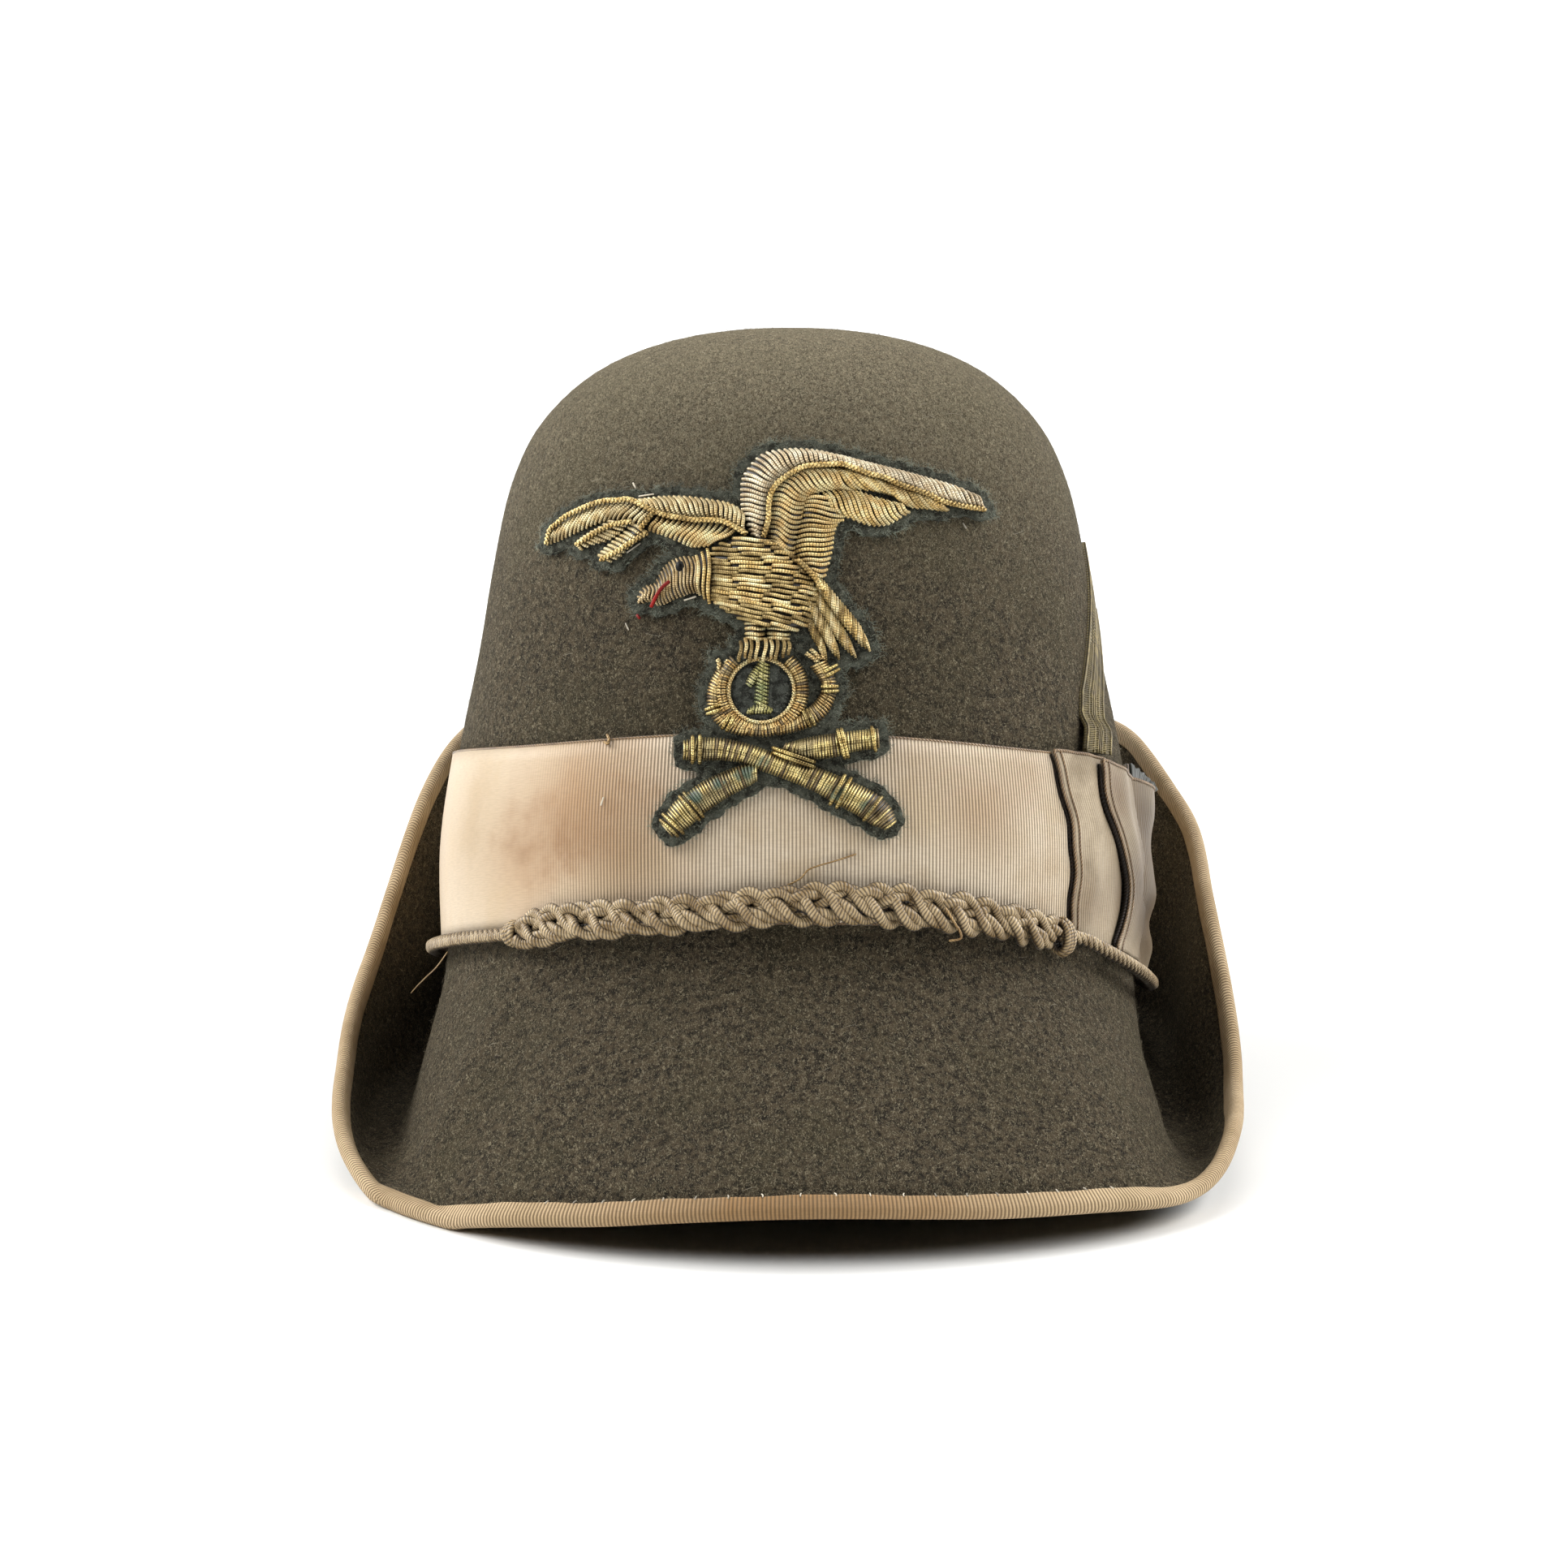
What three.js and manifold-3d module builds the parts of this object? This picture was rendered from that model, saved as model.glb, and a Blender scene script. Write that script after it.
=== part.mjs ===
// A mountain troops' felt hat: a tall blocked crown, a brim that falls in front and folds up at the sides
// and back, a bound edge, a ribbon band with pleats, a plaited cord, a rank lace and an embroidered badge.
// Lengths are in millimetres. The hat's own frame has its front at -Y, the wearer's left at +X, and z = 0
// where the crown meets the brim. The whole hat leans back, as it does when it rests on a table.
import * as THREE from 'three';
import { mergeVertices } from 'three/addons/utils/BufferGeometryUtils.js';
import Module from 'manifold-3d';

const wasm = await Module();
wasm.setup();

// Driving sizes
const planExponent = 2.2; // of the crown's oval
const lengthRatio = 1.245; // crown length over crown width
const feltThickness = 2.2;
const edgePinch = 0.5; // how far the binding presses each face of the felt in
const foldInset = 1.6; // of the folded-up part of the brim
const restTilt = THREE.MathUtils.degToRad(15.5);
const tableHeight = -34.6; // of the table's top, measured along its normal from the hat's centre
const breakWidth = 14; // the brim leaves the crown's wall over this width
const wallSlope = -88; // of the crown's wall where the brim starts, in degrees
const gap = 0.3; // between pieces that lie against each other
const ribbon = 1; // thickness of the band, the binding and the lace
const azimuthSteps = 60;

// Outer face of the crown, a row for each section: height above the brim and half the width
const crownTable = [
  { height: 0, halfWidth: 83.5 },
  { height: 24, halfWidth: 84.0 },
  { height: 48, halfWidth: 80.8 },
  { height: 72, halfWidth: 76.2 },
  { height: 94, halfWidth: 72.7 },
  { height: 113, halfWidth: 68.6 },
  { height: 128, halfWidth: 61.3 },
  { height: 140.5, halfWidth: 47.5 },
  { height: 148.2, halfWidth: 27.0 },
  { height: 150.8, halfWidth: 0 },
];

// The brim, a row for each 18 degrees from the wearer's right rear corner round the front: its width, where
// on that width it folds, how wide the fold is, and the slopes in degrees before and after the fold
const brimRowSpacing = 18;
const brimTable = [
  { azimuth: -162, width: 84, fold: 8.5, arc: 14, down: -84, up: 79 },
  { azimuth: -144, width: 84, fold: 8.0, arc: 14, down: -84, up: 79 },
  { azimuth: -126, width: 83, fold: 9.5, arc: 15, down: -84, up: 83.5 },
  { azimuth: -108, width: 80, fold: 19.5, arc: 18, down: -82.5, up: 85.5 },
  { azimuth: -90, width: 77, fold: 41.0, arc: 22, down: -76.5, up: 83 },
  { azimuth: -72, width: 76, fold: 52.5, arc: 24, down: -73, up: 78.5 },
  { azimuth: -54, width: 76, fold: 65.0, arc: 26, down: -65.5, up: 63 },
  { azimuth: -36, width: 76, fold: 81.5, arc: 26, down: -58.5, up: 70.5 },
  { azimuth: -18, width: 76, fold: 84.5, arc: 28, down: -57, up: 67.5 },
  { azimuth: 0, width: 76, fold: 104.0, arc: 28, down: -54.5, up: 70 },
  { azimuth: 18, width: 76, fold: 88.5, arc: 28, down: -54.5, up: 67.5 },
  { azimuth: 36, width: 76, fold: 79.0, arc: 26, down: -53, up: 65 },
  { azimuth: 54, width: 76, fold: 63.0, arc: 26, down: -64, up: 69.5 },
  { azimuth: 72, width: 76, fold: 51.5, arc: 24, down: -79, up: 64.5 },
  { azimuth: 90, width: 77, fold: 31.5, arc: 22, down: -86, up: 78.5 },
  { azimuth: 108, width: 80, fold: 20.0, arc: 18, down: -69, up: 81 },
  { azimuth: 126, width: 83, fold: 9.5, arc: 15, down: -77.5, up: 78.5 },
  { azimuth: 144, width: 84, fold: 8.0, arc: 14, down: -84, up: 79 },
  { azimuth: 162, width: 84, fold: 8.5, arc: 14, down: -84, up: 79 },
  { azimuth: 180, width: 84, fold: 8.5, arc: 14, down: -84, up: 79 },
];

// Edge binding: how far its two flaps reach over the felt
const bindingFlap = 5;

// Band: the heights of its lower and upper edge, a row for each 45 degrees from the right rear
const bandRowSpacing = 45;
const bandTable = [
  { azimuth: -135, bottom: 1.5, top: 47.5 },
  { azimuth: -90, bottom: 0.5, top: 47 },
  { azimuth: -45, bottom: 0.3, top: 43.2 },
  { azimuth: 0, bottom: 1, top: 43.6 },
  { azimuth: 45, bottom: 0.5, top: 41.6 },
  { azimuth: 90, bottom: 1, top: 45 },
  { azimuth: 135, bottom: 1.5, top: 47.5 },
  { azimuth: 180, bottom: 1.5, top: 47.5 },
];
const bandLift = 0.5; // of the band's inner face from the crown

// Pleats in the band on the wearer's left: the azimuth of the folded edge at the top and the bottom, how many
// degrees the pleat takes up, its heights, how far its folded edge stands out, and how much its middle swells
const pleatTable = [
  { name: 'pleat_1', foldTop: 44, foldBottom: 47, turn: 15, top: 41.8, bottom: 1.4, lift: 1.8, puff: 0.4 },
  { name: 'pleat_2', foldTop: 56.5, foldBottom: 60, turn: 17, top: 40.5, bottom: -2.4, lift: 3.6, puff: 0.8 },
  { name: 'pleat_3', foldTop: 71, foldBottom: 72, turn: 21, top: 37, bottom: -4.6, lift: 3.7, puff: 2.6 },
];
const tuckedLift = 1.8; // of a pleat's tucked edge
const pleatWave = { depth: 0.4, turn: 5 }; // how much less a pleat swells lower down, in a wave of this angle

// Plait in front and the thin cord round the back, both as points by azimuth and height
const plaitTable = [
  { azimuth: -43, height: -0.1, halfHeight: 3.3 },
  { azimuth: -34, height: 2.1, halfHeight: 3.7 },
  { azimuth: -23, height: 2.6, halfHeight: 3.8 },
  { azimuth: -11, height: 3.6, halfHeight: 4.0 },
  { azimuth: 0, height: 5.0, halfHeight: 4.0 },
  { azimuth: 8, height: 5.5, halfHeight: 4.1 },
  { azimuth: 21, height: 4.1, halfHeight: 4.0 },
  { azimuth: 32, height: 2.0, halfHeight: 3.9 },
  { azimuth: 41, height: -0.3, halfHeight: 3.8 },
];
const plaitThickness = 4.4;
const plaitLift = 1.8;
const plaitSteps = 32;
const plaitSwell = 0.25;
const plaitWrap = { azimuth: -44.3, height: -0.1, halfHeight: 2.6 };
const plaitKnot = { azimuth: 43.2, height: -1.2, halfHeight: 4.6 };
const wrapProfile = [
  { turn: -0.9, part: 0.75 },
  { turn: -0.5, part: 1 },
  { turn: 0.5, part: 1 },
  { turn: 0.9, part: 0.75 },
];
const cordTable = [
  { azimuth: 48.5, height: -1.4, lift: 4.4 },
  { azimuth: 57, height: -5, lift: 4.6 },
  { azimuth: 66, height: -8, lift: 4.8 },
  { azimuth: 78, height: -9.7, lift: 4.5 },
  { azimuth: 94, height: -8, lift: 4 },
  { azimuth: 112, height: -1.5, lift: 3.9 },
  { azimuth: 132, height: 2.4, lift: 3.9 },
  { azimuth: 154, height: 2.8, lift: 3.9 },
  { azimuth: 178, height: 2.8, lift: 3.9 },
  { azimuth: 202, height: 2.8, lift: 3.9 },
  { azimuth: 224, height: 2.6, lift: 3.9 },
  { azimuth: 246, height: 1.2, lift: 3.9 },
  { azimuth: 266, height: -0.2, lift: 3.8 },
  { azimuth: 284, height: -0.3, lift: 3.7 },
  { azimuth: 300, height: -0.3, lift: 3.6 },
  { azimuth: 314.4, height: -0.2, lift: 3.6 },
];
const cordRadius = 1.65;
const cordSteps = 35;

// A torn scrap of lining that sticks out from under the last pleat
const scrap = { azimuthFrom: 74.5, azimuthTo: 84, bottom: 34.5, topFrom: 41.5, topTo: 38, bottomLift: 1.8, topLift: 3 };
const scrapThickness = 1;

// Rank lace: an upturned V with a mitred point, its two edges by azimuth and height
const laceTable = [
  { outerAzimuth: 53, outerHeight: 42.5, innerAzimuth: 62.5, innerHeight: 43 },
  { outerAzimuth: 58, outerHeight: 58, innerAzimuth: 68, innerHeight: 57 },
  { outerAzimuth: 66.5, outerHeight: 71.5, innerAzimuth: 75, innerHeight: 68 },
  { outerAzimuth: 84, outerHeight: 99, innerAzimuth: 84, innerHeight: 82 },
  { outerAzimuth: 101.5, outerHeight: 71.5, innerAzimuth: 93, innerHeight: 68 },
  { outerAzimuth: 110, outerHeight: 59, innerAzimuth: 100, innerHeight: 58 },
  { outerAzimuth: 115, outerHeight: 49, innerAzimuth: 105.5, innerHeight: 49 },
];
const laceSteps = 2; // facets between two rows
const laceRise = { from: 53, to: 48, lift: 1.6 }; // its lower ends climb on to the band between these heights

// Badge, drawn as seen from the front: x to the wearer's left, z up from the brim. A field of laid wire has
// a row for each station, from its edge a to its edge b; a strip has a row for each point of its centre line.
const backingThickness = 1.2;
const backingBorder = 2.9;
const bandRise = { from: 52, to: 47, lift: 1.5 }; // the backing climbs on to the band between these heights
const backingLift = 0.6;
const backingCell = 4.8; // spacing of the backing's own mesh
const badgeArea = { left: -64, right: 56, bottom: 12, top: 117.6 };

const wingFields = [
  {
    rise: 1.9,
    rows: [
      { ax: -8.6, az: 90, bx: -6.4, bz: 89.4 },
      { ax: -10.6, az: 94.5, bx: -5.1, bz: 93.6 },
      { ax: -11.1, az: 99.5, bx: -4.7, bz: 98.5 },
      { ax: -10.6, az: 104.2, bx: -3.6, bz: 101.9 },
      { ax: -6.8, az: 109.1, bx: -1.2, bz: 104.2 },
      { ax: -1.5, az: 110.5, bx: 1.8, bz: 106 },
      { ax: 4.5, az: 110.5, bx: 6.5, bz: 107 },
      { ax: 10.5, az: 109.3, bx: 12.5, bz: 106.9 },
      { ax: 17, az: 107.8, bx: 20, bz: 104.6 },
      { ax: 24, az: 106.3, bx: 27.5, bz: 102.2 },
      { ax: 31, az: 104.8, bx: 35, bz: 99.4 },
      { ax: 38, az: 103.2, bx: 41.5, bz: 98.5 },
      { ax: 43.5, az: 101.4, bx: 45.5, bz: 98.3 },
    ],
  },
  {
    rise: 1.4,
    rows: [
      { ax: -5, az: 88.5, bx: 1, bz: 85.5 },
      { ax: -4.6, az: 96, bx: 2.5, bz: 94 },
      { ax: -4, az: 100, bx: 3.2, bz: 97.8 },
      { ax: -2.2, az: 103, bx: 4.5, bz: 99.6 },
      { ax: 1, az: 105.5, bx: 7.5, bz: 100.5 },
      { ax: 4.5, az: 106.3, bx: 11, bz: 101.2 },
      { ax: 9, az: 106.2, bx: 14, bz: 101 },
    ],
  },
  {
    rise: 1.1,
    rows: [
      { ax: 4.5, az: 80.6, bx: 7.9, bz: 80.4 },
      { ax: 1, az: 86, bx: 9.6, bz: 87.2 },
      { ax: 2.4, az: 93, bx: 11, bz: 93.2 },
      { ax: 3.6, az: 99, bx: 12.6, bz: 94.6 },
    ],
  },
  {
    rise: 1.2,
    rows: [
      { ax: 9.5, az: 106.3, bx: 14.5, bz: 101.3 },
      { ax: 18, az: 104.5, bx: 24.5, bz: 99.8 },
      { ax: 26.5, az: 101.9, bx: 31.5, bz: 97.4 },
      { ax: 34, az: 99.4, bx: 36.4, bz: 97.6 },
    ],
  },
  {
    rise: 1.1,
    rows: [
      { ax: 7.5, az: 99.6, bx: 13, bz: 101.4 },
      { ax: 10, az: 95.2, bx: 24.5, bz: 99.2 },
      { ax: 16.5, az: 93.2, bx: 23.5, bz: 95 },
      { ax: 19, az: 92.5, bx: 22.3, bz: 94 },
    ],
  },
  {
    rise: 1.6,
    rows: [
      { ax: -35, az: 99.6, bx: -33.8, bz: 98.4 },
      { ax: -29, az: 100, bx: -25.5, bz: 95 },
      { ax: -21, az: 99.3, bx: -18.5, bz: 94.2 },
      { ax: -14.5, az: 98, bx: -13.3, bz: 92.8 },
      { ax: -10.8, az: 95.6, bx: -9.8, bz: 90.6 },
    ],
  },
  {
    rise: 1.3,
    rows: [
      { ax: -12, az: 91.6, bx: -18.5, bz: 88 },
      { ax: -20, az: 93.6, bx: -24, bz: 88.4 },
      { ax: -28, az: 95, bx: -30.5, bz: 91.5 },
      { ax: -31, az: 97, bx: -33.5, bz: 92.8 },
      { ax: -39, az: 100.2, bx: -42.5, bz: 95.3 },
      { ax: -47.5, az: 99.3, bx: -50, bz: 93.2 },
      { ax: -54, az: 96.4, bx: -55.2, bz: 91.8 },
      { ax: -56, az: 94.6, bx: -56.8, bz: 91.5 },
    ],
  },
  {
    rise: 1.1,
    rows: [
      { ax: -41.6, az: 95.6, bx: -37.3, bz: 94.6 },
      { ax: -46.5, az: 92.8, bx: -42, bz: 90.6 },
      { ax: -49.8, az: 90.6, bx: -48.5, bz: 89 },
    ],
  },
  {
    rise: 1.1,
    rows: [
      { ax: -36, az: 94.6, bx: -32.4, bz: 92.4 },
      { ax: -41, az: 90.1, bx: -37.2, bz: 88.2 },
      { ax: -44.2, az: 87, bx: -41.5, bz: 85.4 },
    ],
  },
];

const bodyFields = [
  {
    rise: 3,
    rows: [
      { ax: -12, az: 90.4, bx: -5, bz: 90 },
      { ax: -18.6, az: 85.5, bx: 1.5, bz: 86.4 },
      { ax: -19.4, az: 81, bx: 4.8, bz: 81 },
      { ax: -18.8, az: 76, bx: 6, bz: 75.5 },
      { ax: -15, az: 72, bx: 4.5, bz: 70.3 },
      { ax: -11, az: 70.2, bx: 0.8, bz: 68.4 },
    ],
  },
  {
    rise: 1.8,
    rows: [
      { ax: -10, az: 71, bx: -0.3, bz: 71 },
      { ax: -9.8, az: 66, bx: -0.6, bz: 66 },
      { ax: -11, az: 62.6, bx: -1, bz: 62.4 },
    ],
  },
  {
    rise: 2.2,
    rows: [
      { ax: -18.5, az: 86.4, bx: -18.5, bz: 74.5 },
      { ax: -21.8, az: 85.3, bx: -20.8, bz: 76.4 },
      { ax: -26.5, az: 84.9, bx: -24.5, bz: 76.2 },
      { ax: -28.5, az: 83.4, bx: -26.8, bz: 75.4 },
      { ax: -31, az: 79.4, bx: -30.2, bz: 74.4 },
      { ax: -34.5, az: 77.4, bx: -33.6, bz: 75 },
      { ax: -34.8, az: 76, bx: -34.3, bz: 75.1 },
    ],
  },
];

const tailStrips = [
  {
    rise: 1.6,
    rows: [
      { x: 2.5, z: 76.5, halfWidth: 3.4 },
      { x: 8, z: 70.5, halfWidth: 3.4 },
      { x: 13, z: 65.6, halfWidth: 3.2 },
      { x: 15.2, z: 63.8, halfWidth: 2.4 },
    ],
  },
  {
    rise: 1.2,
    rows: [
      { x: 3, z: 72.5, halfWidth: 1.2 },
      { x: 8.2, z: 64.4, halfWidth: 1 },
    ],
  },
];

const discCentre = { x: -6.5, z: 53.8 };
const discRadius = 6.6;
const discThickness = 0.5;
const ringRadius = 9.2; // of the horn's coil round the disc, to the middle of its wire
const ringHalfWidth = 1.5;
const ringFrom = 48; // degrees from the top, clockwise, past the eagle's claws
const ringTo = 312;
const hornStrips = [
  {
    rise: 2,
    rows: [
      { x: -3, z: 44.9, halfWidth: 1.4 },
      { x: 2, z: 46.3, halfWidth: 1.6 },
      { x: 6, z: 48.8, halfWidth: 1.9 },
      { x: 8.4, z: 52.4, halfWidth: 1.6 },
      { x: 8.6, z: 56, halfWidth: 1.5 },
      { x: 6.2, z: 60.2, halfWidth: 1.9 },
    ],
  },
  {
    rise: 1.8,
    rows: [
      { x: -8, z: 44.6, halfWidth: 1.3 },
      { x: -12.5, z: 45.6, halfWidth: 1.6 },
      { x: -16, z: 48.2, halfWidth: 1.6 },
      { x: -17.3, z: 51.5, halfWidth: 1.3 },
      { x: -16.8, z: 54.8, halfWidth: 1.5 },
      { x: -15.2, z: 58.2, halfWidth: 1.4 },
    ],
  },
];

const numeralStrips = [
  {
    rise: 0.9,
    rows: [
      { x: -5.8, z: 60, halfWidth: 1.2 },
      { x: -6.2, z: 49.8, halfWidth: 1.2 },
    ],
  },
  {
    rise: 0.9,
    rows: [
      { x: -6, z: 58, halfWidth: 0.9 },
      { x: -9.2, z: 55, halfWidth: 0.7 },
    ],
  },
  {
    rise: 0.9,
    rows: [
      { x: -9.2, z: 49.7, halfWidth: 0.6 },
      { x: -4.4, z: 49.8, halfWidth: 0.6 },
    ],
  },
];

const barrelTable = [
  {
    name: 'barrel_front',
    rows: [
      { x: -24.2, z: 40.3, halfWidth: 2.3 },
      { x: -19.8, z: 40.4, halfWidth: 3 },
      { x: -15, z: 40.3, halfWidth: 2.5 },
      { x: -10, z: 39.3, halfWidth: 2.2 },
      { x: -5, z: 37.4, halfWidth: 2.4 },
      { x: 1.2, z: 35.2, halfWidth: 2.4 },
      { x: 6.7, z: 33, halfWidth: 2.7 },
      { x: 10.7, z: 31, halfWidth: 3.6 },
      { x: 16, z: 28.4, halfWidth: 3.1 },
      { x: 20.4, z: 25.2, halfWidth: 2.8 },
      { x: 22.6, z: 23, halfWidth: 1.4 },
    ],
  },
  {
    name: 'barrel_rear_upper',
    rows: [
      { x: -1, z: 41.3, halfWidth: 1 },
      { x: 1.5, z: 41, halfWidth: 2 },
      { x: 5, z: 40.7, halfWidth: 2.6 },
      { x: 11.8, z: 41.5, halfWidth: 3.2 },
      { x: 15, z: 42.2, halfWidth: 2.3 },
      { x: 20, z: 43, halfWidth: 2.3 },
    ],
  },
  {
    name: 'barrel_rear_lower',
    rows: [
      { x: -7.6, z: 34.4, halfWidth: 1.6 },
      { x: -9.9, z: 33.8, halfWidth: 2.3 },
      { x: -15.4, z: 31.6, halfWidth: 2.9 },
      { x: -19.8, z: 29, halfWidth: 3.4 },
      { x: -24.5, z: 25.4, halfWidth: 3.1 },
      { x: -27.8, z: 22, halfWidth: 2 },
    ],
  },
];
const barrelRise = 2.8;

// Tables, splines and slopes
const toRadians = THREE.MathUtils.degToRad;

function smoothStep(value) {
  return THREE.MathUtils.smoothstep(value, 0, 1);
}

// A smooth value of one column between the rows of a table, at the row number u
function readTable(rows, column, u, closed = false) {
  const count = rows.length;
  const first = Math.floor(u);
  const t = u - first;
  const value = (offset) => {
    const index = first + offset;
    const within = closed ? (index + count) % count : THREE.MathUtils.clamp(index, 0, count - 1);
    return rows[within][column];
  };
  const [p0, p1, p2, p3] = [value(-1), value(0), value(1), value(2)];
  const curve = (2 * p0 - 5 * p1 + 4 * p2 - p3) * t * t + (3 * p1 - p0 - 3 * p2 + p3) * t * t * t;
  return 0.5 * (2 * p1 + (p2 - p0) * t + curve);
}

function rowAtAzimuth(azimuth, table, spacing) {
  const count = table.length;
  const u = (azimuth - table[0].azimuth) / spacing;
  return ((u % count) + count) % count;
}

// The crown's oval at a row number of the crown's table
function crownSection(u) {
  const halfWidth = Math.max(readTable(crownTable, 'halfWidth', u), 0.01);
  return { height: readTable(crownTable, 'height', u), halfWidth, halfLength: halfWidth * lengthRatio };
}

function crownRowAtHeight(height) {
  let low = 0;
  let high = crownTable.length - 1;
  for (let step = 0; step < 30; step++) {
    const middle = (low + high) / 2;
    if (crownSection(middle).height < height) {
      low = middle;
    } else {
      high = middle;
    }
  }
  return low;
}

function ovalPoint(azimuth, section) {
  const sine = Math.sin(toRadians(azimuth));
  const cosine = Math.cos(toRadians(azimuth));
  const power = 2 / planExponent;
  return new THREE.Vector3(
    section.halfWidth * Math.sign(sine) * Math.abs(sine) ** power,
    -section.halfLength * Math.sign(cosine) * Math.abs(cosine) ** power,
    section.height,
  );
}

// The brim's outer face, integrated along its width from the crown
const brimStride = 1.5;
const crownBase = crownSection(0);

// How much of the fold's bend lies before a place along the brim
function bendAt(row, along) {
  return smoothStep((along - row.fold) / row.arc + 0.5);
}

function brimSlope(row, along) {
  const leave = 1 - smoothStep(along / breakWidth);
  return toRadians(row.down + (wallSlope - row.down) * leave + (row.up - row.down) * bendAt(row, along));
}

function brimRow(azimuth) {
  const u = rowAtAzimuth(azimuth, brimTable, brimRowSpacing);
  const columns = ['width', 'fold', 'arc', 'down', 'up'];
  return Object.fromEntries(columns.map((column) => [column, readTable(brimTable, column, u, true)]));
}

function brimPoint(azimuth, along) {
  const row = brimRow(azimuth);
  const base = ovalPoint(azimuth, crownBase);
  const { halfWidth, halfLength } = crownBase;
  const slopeX = Math.sign(base.x) * Math.abs(base.x / halfWidth) ** (planExponent - 1);
  const slopeY = Math.sign(base.y) * Math.abs(base.y / halfLength) ** (planExponent - 1);
  const outward = new THREE.Vector3(slopeX / halfWidth, slopeY / halfLength, 0).normalize();
  const strides = Math.max(1, Math.ceil(along / brimStride));
  let reach = 0;
  let drop = 0;
  for (let step = 0; step < strides; step++) {
    const slope = brimSlope(row, (along * (step + 0.5)) / strides);
    reach += (Math.cos(slope) * along) / strides;
    drop += (Math.sin(slope) * along) / strides;
  }
  const slope = brimSlope(row, along);
  const inset = foldInset * bendAt(row, along);
  const point = base.addScaledVector(outward, reach - inset * Math.sin(slope));
  point.z = drop + inset * Math.cos(slope);
  return pressToTable(point, row.width - along);
}

// Where the brim would sink into the table it is pressed flat on it, with room for the binding at the edge
const tableNormal = new THREE.Vector3(0, -Math.sin(restTilt), Math.cos(restTilt));

function pressToTable(point, fromEdge) {
  const atEdge = 1 - smoothStep((fromEdge - bindingFlap) / bindingFlap);
  const clearance = feltThickness + (gap + ribbon - edgePinch) * atEdge;
  const lowest = tableHeight + clearance;
  const height = point.dot(tableNormal);
  return point.addScaledVector(tableNormal, Math.max(0, lowest - height));
}

// A point of the hat's outer face, lifted off it. A station above 0 is a row number of the crown's table,
// and one below 0 is a distance out along the brim.
function facePoint(azimuth, station, lift = 0) {
  const at = (turn, place) => (place >= 0 ? ovalPoint(turn, crownSection(place)) : brimPoint(turn, -place));
  const point = at(azimuth, station);
  if (lift === 0) {
    return point;
  }
  const turn = 0.4;
  const advance = station >= 0 ? -0.02 : -0.4;
  const round = at(azimuth + turn, station).sub(at(azimuth - turn, station));
  const along = at(azimuth, station + advance).sub(point);
  const normal = along.cross(round).normalize();
  return point.addScaledVector(normal, lift);
}

// The same by height: above the brim's line on the crown, below it along the brim
function wallPoint(azimuth, height, lift) {
  return facePoint(azimuth, height >= 0 ? crownRowAtHeight(height) : height, lift);
}

// The crown's face in the front view, and its outward direction
function frontFace(x, z) {
  const fieldAt = (place) => {
    const section = crownSection(crownRowAtHeight(place.z));
    const across = Math.abs(place.x / section.halfWidth) ** planExponent;
    return across + Math.abs(place.y / section.halfLength) ** planExponent;
  };
  const section = crownSection(crownRowAtHeight(z));
  const side = Math.abs(x / section.halfWidth) ** planExponent;
  const point = new THREE.Vector3(x, -section.halfLength * (1 - side) ** (1 / planExponent), z);
  const step = 0.5;
  const axes = [new THREE.Vector3(step, 0, 0), new THREE.Vector3(0, step, 0), new THREE.Vector3(0, 0, step)];
  const slopes = axes.map((axis) => fieldAt(point.clone().add(axis)) - fieldAt(point.clone().sub(axis)));
  return { point, out: new THREE.Vector3(...slopes).normalize() };
}

// A point lifted off the crown's front, which keeps its place in the front view
function frontPoint(x, z, lift) {
  const { out } = frontFace(x, z);
  const base = frontFace(x - out.x * lift, z - out.z * lift);
  return base.point.addScaledVector(base.out, lift);
}

// Closed meshes
function span(from, to, steps) {
  return Array.from({ length: steps + 1 }, (_, index) => from + ((to - from) * index) / steps);
}

function volumeOf(positions, indices) {
  const corner = (index) => new THREE.Vector3(...positions.slice(indices[index] * 3, indices[index] * 3 + 3));
  let volume = 0;
  for (let index = 0; index < indices.length; index += 3) {
    volume += corner(index).dot(corner(index + 1).cross(corner(index + 2)));
  }
  return volume;
}

// A closed body through sections, each a ring of points; the first and last are joined or capped
function skin(sections, joined = false) {
  const count = sections[0].length;
  const positions = sections.flat().flatMap((point) => point.toArray());
  const indices = [];
  const last = sections.length - 1;
  for (let section = 0; section < (joined ? last + 1 : last); section++) {
    const here = section * count;
    const next = ((section + 1) % sections.length) * count;
    for (let side = 0; side < count; side++) {
      const beside = (side + 1) % count;
      indices.push(here + side, next + side, next + beside, here + side, next + beside, here + beside);
    }
  }
  if (!joined) {
    for (let rung = 0; rung < Math.ceil(count / 2) - 1; rung++) {
      const far = count - 1 - rung;
      indices.push(rung, rung + 1, far, far, rung + 1, far - 1);
      const end = last * count;
      indices.push(end + rung + 1, end + rung, end + far, end + rung + 1, end + far, end + far - 1);
    }
  }
  if (volumeOf(positions, indices) < 0) {
    indices.reverse();
  }
  const geometry = new THREE.BufferGeometry();
  geometry.setAttribute('position', new THREE.Float32BufferAttribute(positions, 3));
  geometry.setIndex(indices);
  return geometry;
}

function toSolid(geometry) {
  const merged = mergeVertices(geometry, 1e-4);
  const vertProperties = new Float32Array(merged.attributes.position.array);
  const triVerts = new Uint32Array(merged.index.array);
  return new wasm.Manifold(new wasm.Mesh({ numProp: 3, vertProperties, triVerts }));
}

function fromSolid(solid) {
  const mesh = solid.getMesh();
  const geometry = new THREE.BufferGeometry();
  geometry.setAttribute('position', new THREE.Float32BufferAttribute(mesh.vertProperties, 3));
  geometry.setIndex(Array.from(mesh.triVerts));
  return geometry;
}

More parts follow.
